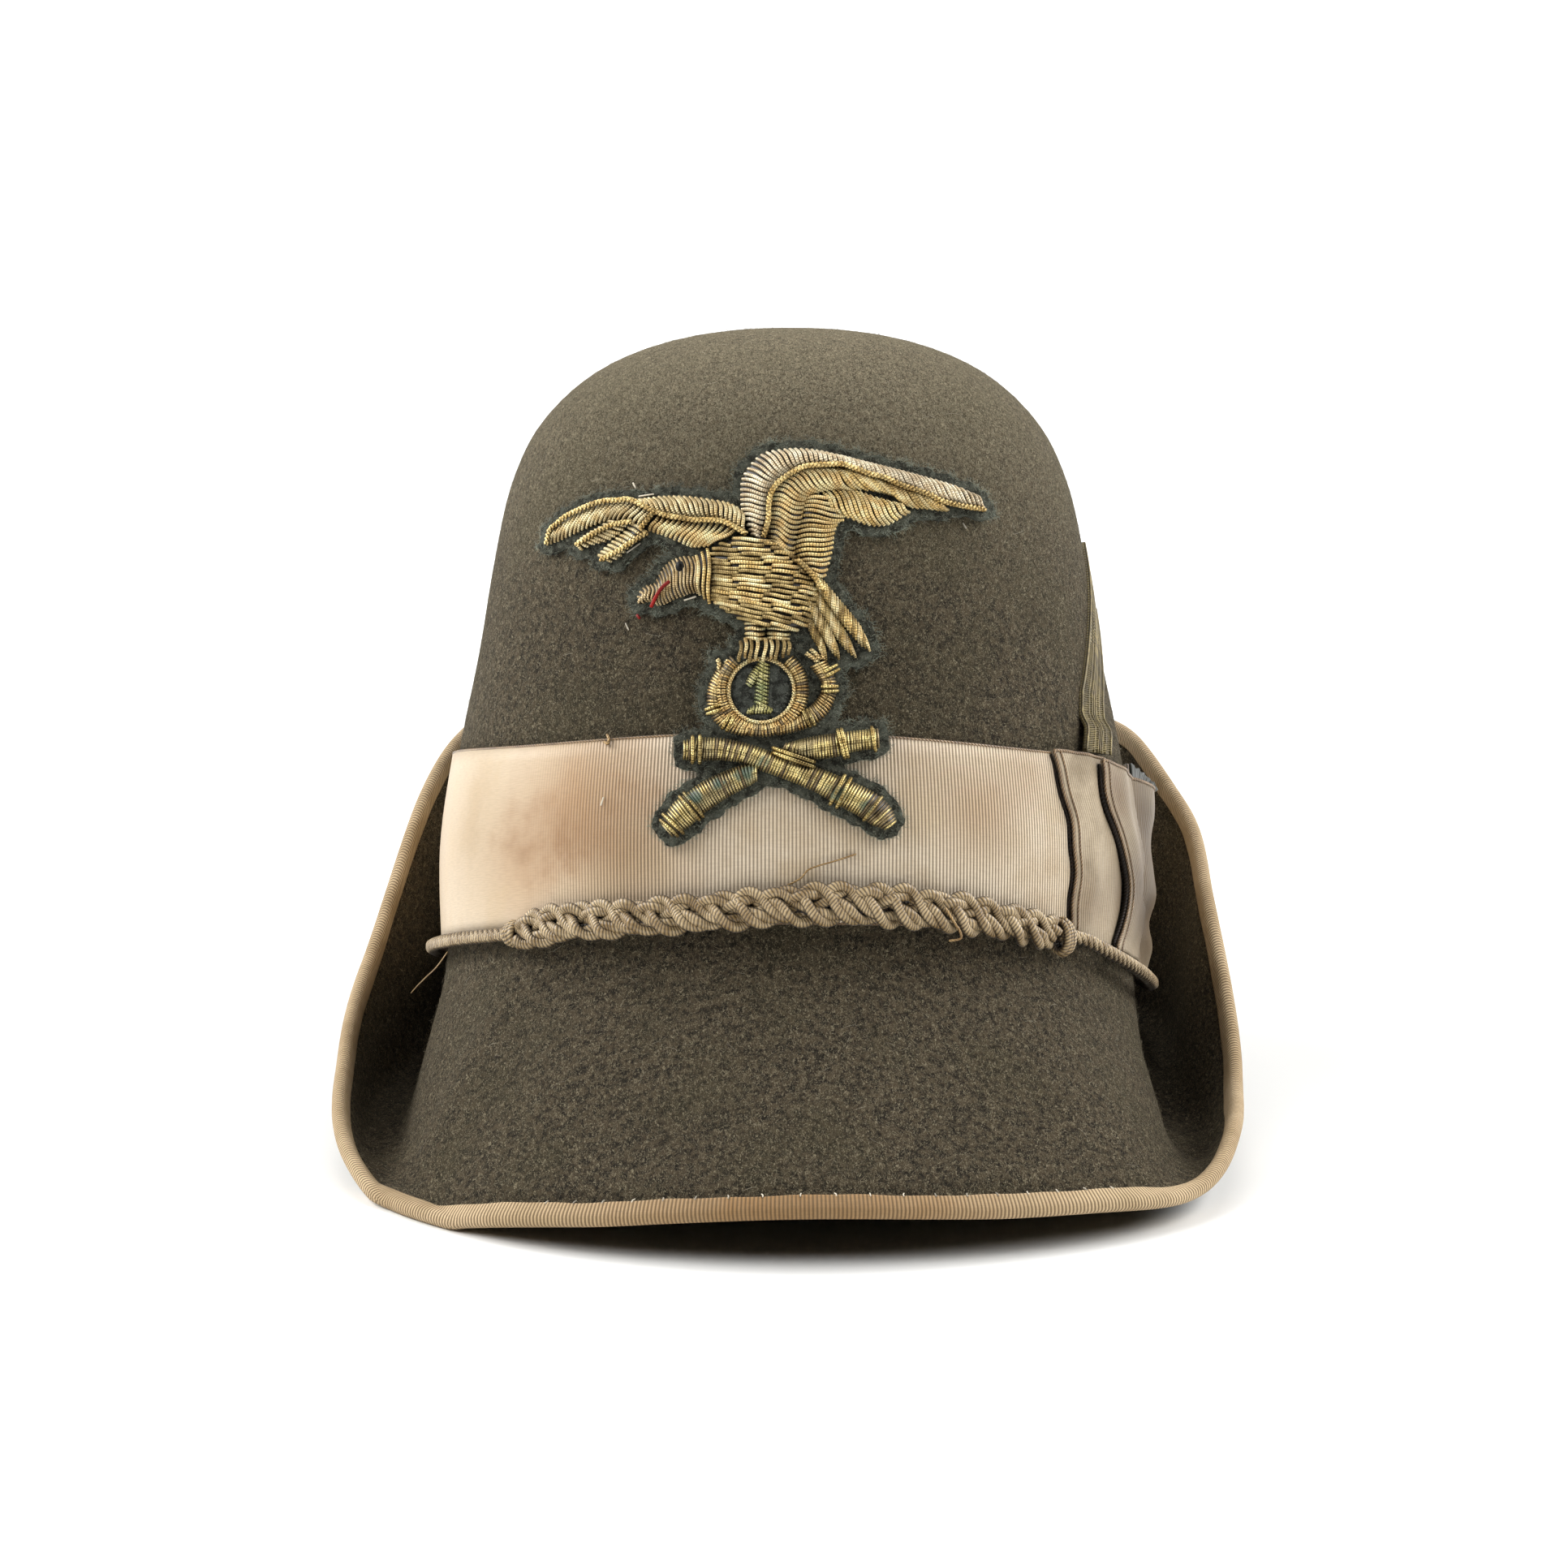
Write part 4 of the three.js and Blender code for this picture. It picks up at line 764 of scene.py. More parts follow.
def makePleats():
    shadowTubes = bmesh.new()
    across, down = np.meshgrid(np.linspace(0, 1, 25), np.linspace(0, 1, 49))
    bow = np.sin(np.pi * across)
    for number, (node, turn, top, fall, bottom, sag, lift, puff) in enumerate(pleats["rows"]):
        last = node == "pleat_3"
        fold = spline(np.array(pleats["folds"][number])[:, None], down * 4)[..., 0]
        azimuth = fold + turn * across + 0.25 * np.sin(down * 21 + number) * (1 - across)
        height = top + (bottom - top) * down - across * (fall * (1 - down) + sag * down)
        swell = puff * bow * (0.6 + 0.4 * np.sin(5 * down))
        if last:
            bulge = spline(np.array(pleats["bulges"])[:, None], down * 7)[..., 0]
            swell = swell + bulge * np.sin(np.pi * np.clip(across * 1.15, 0, 1)) ** 0.8
        crease = 0.25 * np.sin(across * 14 + down * 5 + number) * bow
        lifts = lift + (1.8 - lift) * across + swell + crease + 1 - 0.5 * (1 - across) ** 8
        points = wallPoint(azimuth, height, lifts)
        measure = np.stack([across * turn * 1.55, height], -1)
        piece = sheetPiece(node + "_ribbon", points, measure, pleatCloth, 0.9, (1, -0.6, 0))
        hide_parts(node)
        bm = bmesh.new()
        lines = [] if last else [(points[:, 0], 0.42), (points[:, 2], 0.3)]
        for line, radius in [*lines, (points[0], 0.4)]:
            layTube(bm, line, unit(line * (1, 1, 0)), radius)
        finishMesh(node + "_selvedge", bm, selvedge)
        if not last:
            # a dark tube under the fold: painted shadow in the gap beside it
            paintedShade = wallPoint(azimuth[:, 0] - 0.3, height[:, 0], lifts[:, 0] - 1.0)
            wide = 0.35 + 0.15 * lift * np.sin(np.pi * np.linspace(0.03, 0.97, 47))
            layTube(shadowTubes, paintedShade[1:-1], unit(paintedShade[1:-1] * (1, 1, 0)), wide)
    finishMesh("pleatShadowTubes", shadowTubes, shadedCloth)


makePleats()
print("band and pleats made")


# Badge: laid gilt wires on dark felt

badge = {
    "felt": 1.2,  # thickness of the backing
    "border": 2.3,  # of felt past the wires
    "disc": (-6.5, 53.8),
    "lift": 0.6, "overBand": 1.5, "bandTop": 52, "climb": 5,  # how it climbs from the crown on to the band
    # the camera in the hat's own axes: how far in front of the badge, and how far under the hat's origin
    "cameraAway": 1060, "cameraDown": 50,
}
# wires in a field: distance from one to the next, radius, points along one, sides, power of the field's arch
layings = {
    "feather": (1.12, 0.52, 10, 6, 0.75), "tail": (0.95, 0.42, 7, 6, 0.75), "head": (0.86, 0.36, 10, 6, 0.75),
    "horn": (0.68, 0.34, 8, 5, 0.55), "barrel": (0.66, 0.335, 8, 5, 0.5), "stem": (0.88, 0.44, 7, 5, 0.75),
    "serif": (0.6, 0.32, 7, 5, 0.75),
}
# how unevenly the wires are laid by hand: bow, thickness, lift
uneven = {"bow": 0.1, "thick": (0.92, 1.06), "lift": (-0.06, 0.08)}
embroidered = []  # where the wires lie, for the backing's outline


def onBadge(flat, lift):
    # A place on the badge, from x and z in the front view, and the direction out of it. Lifted places are
    # moved down a little, so that they look unmoved from the camera
    flat = np.asarray(flat, float)
    x, z = flat[..., 0], flat[..., 1]
    climb = badge["overBand"] * smooth((badge["bandTop"] - z) / badge["climb"])
    lift = badge["lift"] + climb + badge["felt"] + lift
    return frontPoint(x, z - lift * (z + badge["cameraDown"]) / badge["cameraAway"], lift)


def fieldRows(rows, at):
    # Where a wire starts and ends, at places along the field from 0 to 1
    rows = np.asarray(rows, float)
    middles = (rows[:, :2] + rows[:, 2:]) / 2
    length = pathLength(middles)
    place = np.interp(np.asarray(at) * length[-1], length, np.arange(len(rows)))
    return spline(rows, place), length[-1]


def layField(sets, laying, rise, kinds, bow, rows):
    # Wires side by side across a field, arched over its padding
    pitch, radius, steps, sides, power = layings[laying]
    _, length = fieldRows(rows, [0])
    count = max(int(round(length / pitch)), 2)
    ends, _ = fieldRows(rows, (np.arange(count) + 0.5) / count)
    part = np.linspace(0, 1, steps)
    for start, end in zip(ends[:, :2], ends[:, 2:]):
        reach = np.linalg.norm(end - start)
        if reach < radius:
            continue
        across = np.array([-(end - start)[1], (end - start)[0]]) / reach
        ownBow = chance.uniform(-uneven["bow"], uneven["bow"])
        wave = bow * np.sin(2 * np.pi * part) + ownBow * np.sin(np.pi * part)
        flat = start + (end - start) * part[:, None] + across * wave[:, None]
        dome = rise * np.sin(np.pi * np.clip(part, 0.03, 0.97)) ** power
        thick = radius * (0.82 + 0.18 * np.sin(np.pi * part)) * chance.uniform(*uneven["thick"])
        path, out = onBadge(flat, dome + radius * 0.5 + chance.uniform(*uneven["lift"]))
        layTube(sets[chance.choice(kinds)], path, out, thick, sides)
        embroidered.extend(flat)
    layPadding(sets["padding"], rows, rise, power)


# a sheet under a field's wires, dark as painted shade in the gaps between them
def layPadding(bm, rows, rise, power):
    part = np.linspace(0, 1, 13)
    ends, _ = fieldRows(rows, np.linspace(0, 1, 24))
    flat = ends[:, None, :2] + (ends[:, None, 2:] - ends[:, None, :2]) * part[None, :, None]
    dome = rise * np.sin(np.pi * part) ** power
    laySheet(bm, toFrame(onBadge(flat, dome + 0.02)[0]))


def layWrap(bm, flat, rise, radius):
    # A wire that goes over a rounded strip and down on both sides
    fine = spline(flat, np.linspace(0, 2, 13))
    dome = rise * np.sin(np.pi * np.linspace(0.04, 0.96, 13)) ** 0.5
    path, out = onBadge(fine, dome + radius)
    layTube(bm, path, out, radius)


def twist(bm, flat, lift, radius, pitch):
    # Two strands twisted together; pitch is that of the beads they show
    rows = np.asarray(flat, float)
    fine = spline(rows, np.linspace(0, len(rows) - 1, 40 * len(rows)))
    length = pathLength(fine)
    count = max(int(length[-1] / pitch * 4), 8)
    even = np.stack([np.interp(np.linspace(0, length[-1], count), length, fine[:, k]) for k in (0, 1)], -1)
    path, out = onBadge(even, lift)
    side = unit(np.cross(unit(np.gradient(path, axis=0)), out))
    phase = np.linspace(0, length[-1], count) / pitch * math.pi
    for start in (0, math.pi):
        offset = side * np.cos(phase + start)[:, None] + out * np.sin(phase + start)[:, None]
        layTube(bm, path + offset * radius * 0.9, out, radius, 5)
    embroidered.extend(even)


def acrossRows(table, skew):
    # Rows across a strip from its middle line and half widths; skew slants them
    table = spline(table, np.linspace(0, len(table) - 1, 6 * len(table)))
    ahead = unit(np.gradient(table[:, :2], axis=0))
    side = np.stack([-ahead[:, 1], ahead[:, 0]], -1) * table[:, 2:]
    slant = ahead * skew
    return np.concatenate([table[:, :2] + side + slant, table[:, :2] - side - slant], -1)


giltLooks = {
    # light, darker, browned, painted shade between the coil's turns and on the flanks, coil's pitch
    "silver": ("#fff2d2", "#dcc49c", "#a08a6c", "#30271b", 0.5),
    "rose": ("#fff0c0", "#dfc48c", "#a58c60", "#302515", 0.5),
    "gold": ("#fff2bc", "#ecca8a", "#b08f58", "#2c1f0c", 0.5),
    "coiled": ("#ffe4a0", "#cdab68", "#8a6f40", "#1c1308", 0.66),
    "olive": ("#d2b97e", "#957d4c", "#695331", "#20170c", 0.5),
    "brown": ("#ecd4a4", "#b89c6c", "#8c7450", "#2c2115", 0.45),
}
threadLooks = {
    # material, the same four colours, pitch of its turns, their depth, roughness, metal, if it has corroded
    "wound": ("Wound_Gilt_Thread", ("#fbe6a0", "#b39c62", "#857a64", "#2e2412"), 0.5, 0.02, 0.34, 0.8, True),
    "horn": ("Horn_Thread", ("#f0d798", "#b6935a", "#82683f", "#2a1f0f"), 0.5, 0.03, 0.36, 0.75, False),
    "dull": ("Dull_Thread", ("#a8946a", "#6f5d3e", "#54483a", "#1c150b"), 0.5, 0.03, 0.45, 0.6, False),
    "ring": ("Ring_Wire", ("#ecd48c", "#9c8148", "#5a4f38", "#1d160b"), 0.6, 0.08, 0.3, 0.85, True),
    "green": ("Numeral_Wire", ("#d9d096", "#a39c5e", "#63856a", "#2c2d17"), 0.6, 0.06, 0.36, 0.6, False),
    "laceThread": ("Lace_Thread", ("#8f7f50", "#67593a", "#4a4228", "#221b10"), 0.5, 0.03, 0.45, 0.4, False),
}
# green corrosion: x, z, size
verdigris = [
    (-10.5, 34.9, 1.8), (-21.6, 29.6, 1.7), (-16, 32.8, 1.2), (10.4, 30, 1.8), (17.5, 27, 1.7),
    (-6, 37.4, 1.0),
]
wires = {name: wireMaterial("Gilt_" + name, look[:4], look[4]) for name, look in giltLooks.items()}
for name, (*look, corroded) in threadLooks.items():
    wires[name] = wireMaterial(*look, verdigris if corroded else ())
# the padding under the badge's fields, dark as painted shade in the gaps between its wires; and the plait's
# core, painted shade between its strands
wires["padding"] = cordMaterial("Shade_Padding_Thread", ("#4a3a29", "#33281d", "#1e1711"), 0.9)
# which wires a field is laid of, in their shares
kindsOf = {
    "silver": ["silver"], "rose": ["rose"], "gold": ["gold"], "brown": ["brown"], "mixed": ["gold", "coiled"],
    "warm": ["gold", "gold", "coiled"], "tail": ["olive", "gold", "coiled", "rose"],
    "body": ["coiled", "gold", "olive", "olive"], "claws": ["gold", "olive"],
    "horn": ["horn", "horn", "horn", "dull"], "barrel": ["wound", "wound", "wound", "wound", "dull"],
    "green": ["green"],
}


def badgeSets(*names):
    return {name: bmesh.new() for name in (*names, "padding")}


def finishSets(prefix, sets, node):
    for name, bm in sets.items():
        if len(bm.verts):
            piece = finishMesh(prefix + name.capitalize(), bm, wires[name], name != "padding")
            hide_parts(node)


# Eagle

eagle = {
    # name, rise, which wires, bow, then where each row starts and ends, from one end of a field to its other
    "fields": [
        ("primary", 1.9, "silver", 0.25, [
            (-8.6, 90, -6.4, 89.4), (-10.6, 94.5, -5.1, 93.6), (-11.1, 99.5, -4.7, 98.5),
            (-10.6, 104.2, -3.6, 101.9), (-6.8, 109.1, -1.2, 104.2), (-1.5, 110.5, 1.8, 106),
            (4.5, 110.5, 6.5, 107), (10.5, 109.3, 12.5, 106.9), (17, 107.8, 20, 104.6),
            (24, 106.3, 27.5, 102.2), (31, 104.8, 35, 99.4), (38, 103.2, 41.5, 98.5),
            (43.5, 101.4, 45.5, 98.3)]),
        ("covert", 1.7, "gold", 0.5, [
            (-5, 88.5, 1, 85.5), (-4.8, 92, 1.3, 89.5), (-4.6, 96, 2.5, 94), (-4, 100, 3.2, 97.8),
            (-2.2, 103, 4.5, 99.6), (1, 105.5, 7.5, 100.5), (4.5, 106.3, 11, 101.2), (9, 106.2, 14, 101)]),
        ("scapular", 1.2, "warm", 0.3, [
            (4.5, 80.6, 7.9, 80.4), (2.5, 83, 8.8, 83.6), (1, 86, 9.6, 87.2), (1.5, 89.5, 10, 90.6),
            (2.4, 93, 11, 93.2), (2.8, 96, 12.6, 94.6), (3.6, 99, 10.5, 99.8)]),
        ("upperVane", 1.3, "warm", 0.3, [
            (9.5, 106.3, 14.5, 101.3), (13.5, 105.8, 20.5, 100.8), (18, 104.5, 24.5, 99.8),
            (22.5, 103.2, 27.6, 97.5), (26.5, 101.9, 31.5, 97.4), (30.5, 100.6, 35.5, 97.2),
            (34, 99.4, 36.4, 97.6)]),
        ("lowerVane", 1.1, "warm", 0.3, [
            (7.4, 99.9, 10.2, 95.6), (10.3, 101.2, 14.3, 94), (14, 101.2, 18.4, 92.7), (17.8, 99.9, 22.2, 93),
            (21.8, 98.8, 25.2, 94.8), (25.2, 98, 27.6, 96.4)]),
        ("leftUpper", 1.6, "rose", 0.3, [
            (-35, 99.6, -33.8, 98.4), (-33, 99.8, -29.5, 96.2), (-29, 100, -25.5, 95),
            (-25, 99.8, -21.5, 94.4), (-21, 99.3, -18.5, 94.2), (-17.5, 98.6, -15.8, 93.9),
            (-14.5, 98, -13.3, 92.8), (-12.5, 97, -11.5, 91.5), (-10.8, 95.6, -9.8, 90.6)]),
        ("leftLower", 1.3, "gold", 0.3, [
            (-12, 91.6, -18.5, 88), (-16, 93, -21.5, 87.6), (-20, 93.6, -24, 88.4), (-24, 94.2, -27.5, 90.2),
            (-28, 95, -30.5, 91.5), (-30.5, 96, -32.5, 92.2)]),
        ("leftOuter", 1.4, "rose", 0.3, [
            (-31, 97, -33.5, 92.8), (-35, 99.4, -38.5, 94.8), (-39, 100.2, -42.5, 95.3),
            (-43.5, 100.2, -46.5, 94.3), (-47.5, 99.3, -50, 93.2), (-51, 98, -53, 92.2),
            (-54, 96.4, -55.2, 91.8), (-56, 94.6, -56.8, 91.5)]),
        ("featherOne", 1.1, "rose", 0.1, [
            (-41.6, 95.4, -37.3, 94), (-44, 93.9, -39, 92), (-46.5, 92.8, -42, 90.6),
            (-48.6, 91.6, -45.5, 90), (-49.8, 90.6, -48.5, 89)]),
        ("featherTwo", 1.1, "rose", 0.1, [
            (-36, 94.2, -32.4, 91.8), (-38.4, 91.9, -35, 90), (-41, 90.1, -37.2, 88.2),
            (-43.2, 88.2, -39.4, 86.2), (-44.2, 87, -41.5, 85.4)]),
        ("legLeft", 1.9, "mixed", 0.1, [
            (-10.4, 71, -5.6, 71), (-10, 68.5, -5.8, 68.5), (-10, 65.6, -6, 65.4)]),
        ("legRight", 1.9, "mixed", 0.1, [(-5, 71, 0.2, 70.8), (-5, 68.5, 0, 68.3), (-5, 65.6, -0.4, 65.4)]),
        ("neck", 2.4, "mixed", 0.3, [
            (-18.4, 87.4, -17.9, 74), (-20, 86.4, -19.3, 75.2), (-21.8, 85.3, -20.8, 76.8)]),
    ],
    # the body: rise, power of its arch, radius of its wires, and how unevenly they are laid
    "bodyRise": 3.3, "bodyPower": 0.55, "bodyRadius": 0.53,
    "bodyShift": 0.7, "bodySlant": 0.15, "bodyThick": (0.93, 1.05), "bodyLift": (-0.08, 0.1),
    "body": [
        (-12, 89.8, -5.3, 89.4), (-16.5, 87.8, -1.5, 87.6), (-18.4, 85.6, 0.8, 85.9), (-18.6, 84, 1.6, 84.4),
        (-18.6, 81, 4.5, 80.5), (-18.6, 78, 6.3, 76.6), (-18, 75.2, 5.5, 72.6), (-15, 72.6, 4.3, 69.4),
        (-11, 70.4, 1, 67.8)],
    # where the body's wires are joined, and how far that moves from row to row
    "breaks": (-12.6, -5.2, 1.2), "stagger": 0.9,
    "headRise": 2.2, "headBow": 0.4,
    "head": [
        (-21.8, 85.3, -20.8, 76.8), (-24, 85.5, -22.5, 76.9), (-26.5, 84.9, -24.5, 76.2),
        (-28.5, 83.4, -26.8, 75.4), (-29.8, 81.4, -28.6, 74.6), (-31, 79.4, -30.2, 74.4),
        (-33, 78.9, -32, 75.4), (-34.5, 77.4, -33.6, 75), (-34.8, 76, -34.3, 75.1)],
    "claws": [
        (-11.2, 65.2, -11.4, 60.8), (-10.2, 65.9, -9.9, 61.6), (-8.9, 65.6, -9.0, 60.4),
        (-7.5, 66, -7.6, 61.2), (-5.6, 65.8, -5.9, 60.6), (-4.4, 65.4, -4.0, 61.4),
        (-3.0, 65.9, -3.1, 60.7), (-1.6, 65.5, -1.4, 61.6), (-0.4, 65, -0.2, 62.2)],
    "clawRises": (1.5, 1.3), "clawBend": 0.25, "clawRadius": 0.48,  # rise at its ends and more in its middle
    # twisted wire along the wings' edges and between the feathers
    "cords": [
        [
            (-6.1, 89.8), (-5, 93.7), (-4.9, 97.2), (-4.4, 100), (-3, 102.4), (-0.7, 104.3), (1.7, 105.8),
            (4, 106.7), (7.7, 107), (11.9, 107.2), (14.7, 106.3), (18, 105.1), (21.6, 104.3), (25, 102.8),
            (28.6, 101.8), (31.9, 100.8), (35, 99.4), (40, 98.6), (45.1, 98.4)],
        [
            (-10, 90.5), (-12.6, 92.2), (-15, 93.5), (-17.6, 94), (-20, 94.1), (-22.6, 94.3), (-25, 94.8),
            (-27.6, 95.3), (-30, 96.1), (-32, 97.1), (-34, 98.3), (-35.8, 99.4), (-37.8, 100.1), (-40, 100),
            (-42.6, 100.2), (-45, 99.9), (-47.3, 99.3), (-50, 98.4), (-52.5, 97.4), (-54.4, 96),
            (-56, 94.8), (-56.8, 91.6)],
        [(-31.4, 96.4), (-33, 94.4), (-34.4, 92.8)],
        [(-36.6, 94.6), (-41, 94.2), (-45.5, 92.4), (-49.5, 90.2)],
        [(-32.8, 91.6), (-36.5, 89.6), (-40, 87.6), (-43.6, 86)],
        [(1.6, 84.4), (4, 82), (6, 79.6), (7.4, 77.4)],
    ],
    "cordLift": 2.1, "cordRadius": 0.4, "beadPitch": 0.95,
    "tailSkew": -1.9,
    "tail": [  # rise; x, z, half width along each feather
        (0.9, [(2.6, 73.6, 0.8), (4.8, 69, 1.0), (6.8, 65, 1.0), (8, 62.6, 0.5)]),
        (1.4, [(3, 76.4, 0.9), (6.2, 70.6, 1.2), (9.2, 65.4, 1.2), (10.8, 62.8, 0.6)]),
        (0.9, [(4, 78.6, 1.0), (8.6, 71.4, 1.3), (12.2, 66, 1.3), (14.4, 63.2, 0.6)]),
        (1.5, [(5.8, 79.8, 1.0), (11.2, 72.6, 1.4), (15.4, 67.4, 1.4), (17.6, 64.8, 0.6)]),
    ],
}


def layBody(sets):
    # The body's wires run across one swelling, with joints staggered from row to row
    rows, rise, power = eagle["body"], eagle["bodyRise"], eagle["bodyPower"]
    _, length = fieldRows(rows, [0])
    count = int(round(length / layings["feather"][0]))
    ends, _ = fieldRows(rows, (np.arange(count) + 0.5) / count)
    for number, (ax, az, bx, bz) in enumerate(ends):
        shift = chance.uniform(-eagle["bodyShift"], eagle["bodyShift"])
        shift += eagle["stagger"] * (1 if number % 4 > 1 else -1)
        cuts = [ax, *(cut + shift for cut in eagle["breaks"] if ax + 2 < cut + shift < bx - 1.5), bx]
        for start, end in zip(cuts[:-1], cuts[1:]):
            x = np.linspace(start + 0.12, end - 0.12, 10)
            part = (x - ax) / (bx - ax)
            own = (x - start) / (end - start)
            slant = -0.35 * (own - 0.5) + chance.uniform(-eagle["bodySlant"], eagle["bodySlant"])
            z = az + (bz - az) * part + slant + 0.12 * np.sin(own * 6)
            dome = rise * np.sin(np.pi * np.clip(part, 0.02, 0.98)) ** power + 0.28 * np.sin(np.pi * own)
            flat = np.stack([x, z], -1)
            path, out = onBadge(flat, dome + 0.2 + chance.uniform(*eagle["bodyLift"]))
            kind = chance.choice(kindsOf["body"])
            layTube(sets[kind], path, out, eagle["bodyRadius"] * chance.uniform(*eagle["bodyThick"]))
            embroidered.extend(flat)
    layPadding(sets["padding"], rows, rise, power)


def makeEagle():
    sets = badgeSets(*giltLooks)
    for _, rise, kind, bow, rows in eagle["fields"]:
        layField(sets, "feather", rise, kindsOf[kind], bow, rows)
    layBody(sets)
    for rise, table in eagle["tail"]:
        layField(sets, "tail", rise, kindsOf["tail"], 0, acrossRows(table, eagle["tailSkew"]))
    layField(sets, "head", eagle["headRise"], kindsOf["brown"], eagle["headBow"], eagle["head"])
    part = np.linspace(0, 1, 9)
    low, more = eagle["clawRises"]
    for ax, az, bx, bz in eagle["claws"]:
        bend = eagle["clawBend"] * np.sin(part * 5)
        flat = np.stack([ax + (bx - ax) * part + bend, az + (bz - az) * part], -1)
        path, out = onBadge(flat, low + more * np.sin(np.pi * part))
        layTube(sets[chance.choice(kindsOf["claws"])], path, out, eagle["clawRadius"])
        embroidered.extend(flat)
    for flat in eagle["cords"]:
        twist(sets["coiled"], flat, eagle["cordLift"], eagle["cordRadius"], eagle["beadPitch"])
    finishSets("eagle", sets, "eagle_embroidery")


makeEagle()


# Horn round the disc; its thread is finer than 0.3 mm and is drawn coarser to show

horn = {
    "rise": 1.7, "skew": 0.3,
    "ring": (9.2, 1.4, (40, 320)),  # radius, half width, degrees from top
    "branches": [  # x, z, half width along them
        [(-3, 44.9, 1.4), (2, 46.3, 1.6), (6, 48.8, 1.9), (8.4, 52.4, 1.6), (8.6, 56, 1.5), (6.2, 60.2, 1.9)],
        [(-8, 44.6, 1.3), (-12.5, 45.6, 1.6), (-16, 48.2, 1.6), (-17.3, 51.5, 1.3), (-16.8, 54.8, 1.5),
         (-15.2, 58.2, 1.4)],
    ],
    "beads": (7.4, 0.9, 0.3, 0.75),  # twisted wire round the disc: its ring's radius, lift, radius, pitch
    # pairs of raised rings: middle, and half of their length
    "collars": [((9.2, 58.4), (1.6, 0.9)), ((8.9, 54.2), (1.8, 0.1)), ((-17.2, 49.6), (1.7, 0.6)),
                ((-13.9, 46.6), (0.9, 1.7)), ((4.2, 47.4), (-0.8, 1.8))],
    "collarGap": 0.55, "collarRise": 2.0, "collarRadius": 0.42,
    # bits of twisted wire at its ends: from, to; and their lift, radius, pitch
    "tufts": [((6.2, 60.2), (3.6, 62.4)), ((6.6, 61), (4.6, 63.4)), ((7.4, 61.2), (6.6, 64)),
              ((-15.4, 58.4), (-14.2, 61)), ((-16.2, 58.6), (-16.4, 61.2))],
    "tuft": (0.7, 0.32, 0.8),
}


def ringPoints(radius, degrees, count):
    turn = np.radians(np.linspace(*degrees, count))
    x, z = badge["disc"]
    return np.stack([x + radius * np.sin(turn), z + radius * np.cos(turn)], -1)


def makeHorn():
    sets = badgeSets("horn", "dull", "ring", "gold")
    radius, halfWidth, degrees = horn["ring"]
    ring = np.concatenate([ringPoints(radius + side * halfWidth, degrees, 60) for side in (-1, 1)], -1)
    for rows in (ring, *(acrossRows(strip, horn["skew"]) for strip in horn["branches"])):
        layField(sets, "horn", horn["rise"], kindsOf["horn"], 0, rows)
    radius, *beads = horn["beads"]
    twist(sets["gold"], ringPoints(radius, (0, 360), 40), *beads)
    for centre, along in horn["collars"]:
        for offset in (-horn["collarGap"], horn["collarGap"]):
            middle = np.array(centre) + np.array([-along[1], along[0]]) / math.hypot(*along) * offset
            ends = [middle - along, middle, middle + along]
            layWrap(sets["ring"], ends, horn["collarRise"], horn["collarRadius"])
    for start, end in horn["tufts"]:
        middle = ((start[0] + end[0]) / 2 + 0.3, (start[1] + end[1]) / 2)
        twist(sets["gold"], [start, middle, end], *horn["tuft"])
    finishSets("horn", sets, "horn_coil")


makeHorn()


# Crossed barrels

barrels = {
    "rise": 2.3, "frontRise": 0.3,  # and how much more in front
    "skew": 0.2,
    "nodes": {  # x, z, half width along each
        "barrel_front": [
            (-24.2, 40.3, 2.0), (-22.6, 40.4, 2.3), (-19.8, 40.4, 2.6), (-18.5, 40.4, 2.5),
            (-15, 40.3, 2.4), (-10, 39.3, 2.2), (-5, 37.4, 2.3), (1.2, 35.2, 2.4), (6.7, 33, 2.6),
            (9.4, 31.7, 2.8), (12.2, 30.3, 3), (16, 28.4, 3.1), (18, 27.2, 3.1), (20.4, 25.2, 2.8),
            (22.6, 23, 1.4)],
        "barrel_rear_upper": [
            (-1.6, 40.9, 0.8), (1.5, 40.2, 2.1), (5, 40.5, 2.5), (9.8, 41.2, 2.6), (13.3, 42, 2.3),
            (17.5, 42.6, 2.2), (20, 43, 2.1)],
        "barrel_rear_lower": [
            (-7.3, 35, 1.8), (-9.9, 34.4, 2.4), (-15.4, 31.9, 2.8), (-18.6, 30, 3), (-21.2, 28.2, 2.9),
            (-24.5, 25.4, 3.1), (-27.8, 22, 1.8)],
    },
    # raised rings: barrel, where along it from 0 to 1, half of their length
    "rings": [
        ("barrel_front", 0.045, 3.0), ("barrel_front", 0.075, 3.1), ("barrel_front", 0.715, 3.7),
        ("barrel_front", 0.745, 3.7), ("barrel_front", 0.89, 3.3), ("barrel_rear_upper", 0.60, 3.3),
        ("barrel_rear_upper", 0.64, 3.3), ("barrel_rear_upper", 0.93, 2.7), ("barrel_rear_lower", 0.66, 3.5),
        ("barrel_rear_lower", 0.71, 3.5), ("barrel_rear_lower", 0.9, 3.2), ("barrel_rear_lower", 0.95, 2.7),
    ],
    "ringRise": 2.9, "ringRadius": 0.45,
    # two turns of loose wire over the crossing
    "crossing": [[(-3.9, 40.6), (0.8, 38.9), (5.4, 37.3)], [(-3.9, 39.5), (0.8, 37.8), (5.4, 36.2)]],
    "crossingRise": 2.6, "crossingRadius": 0.5,
}


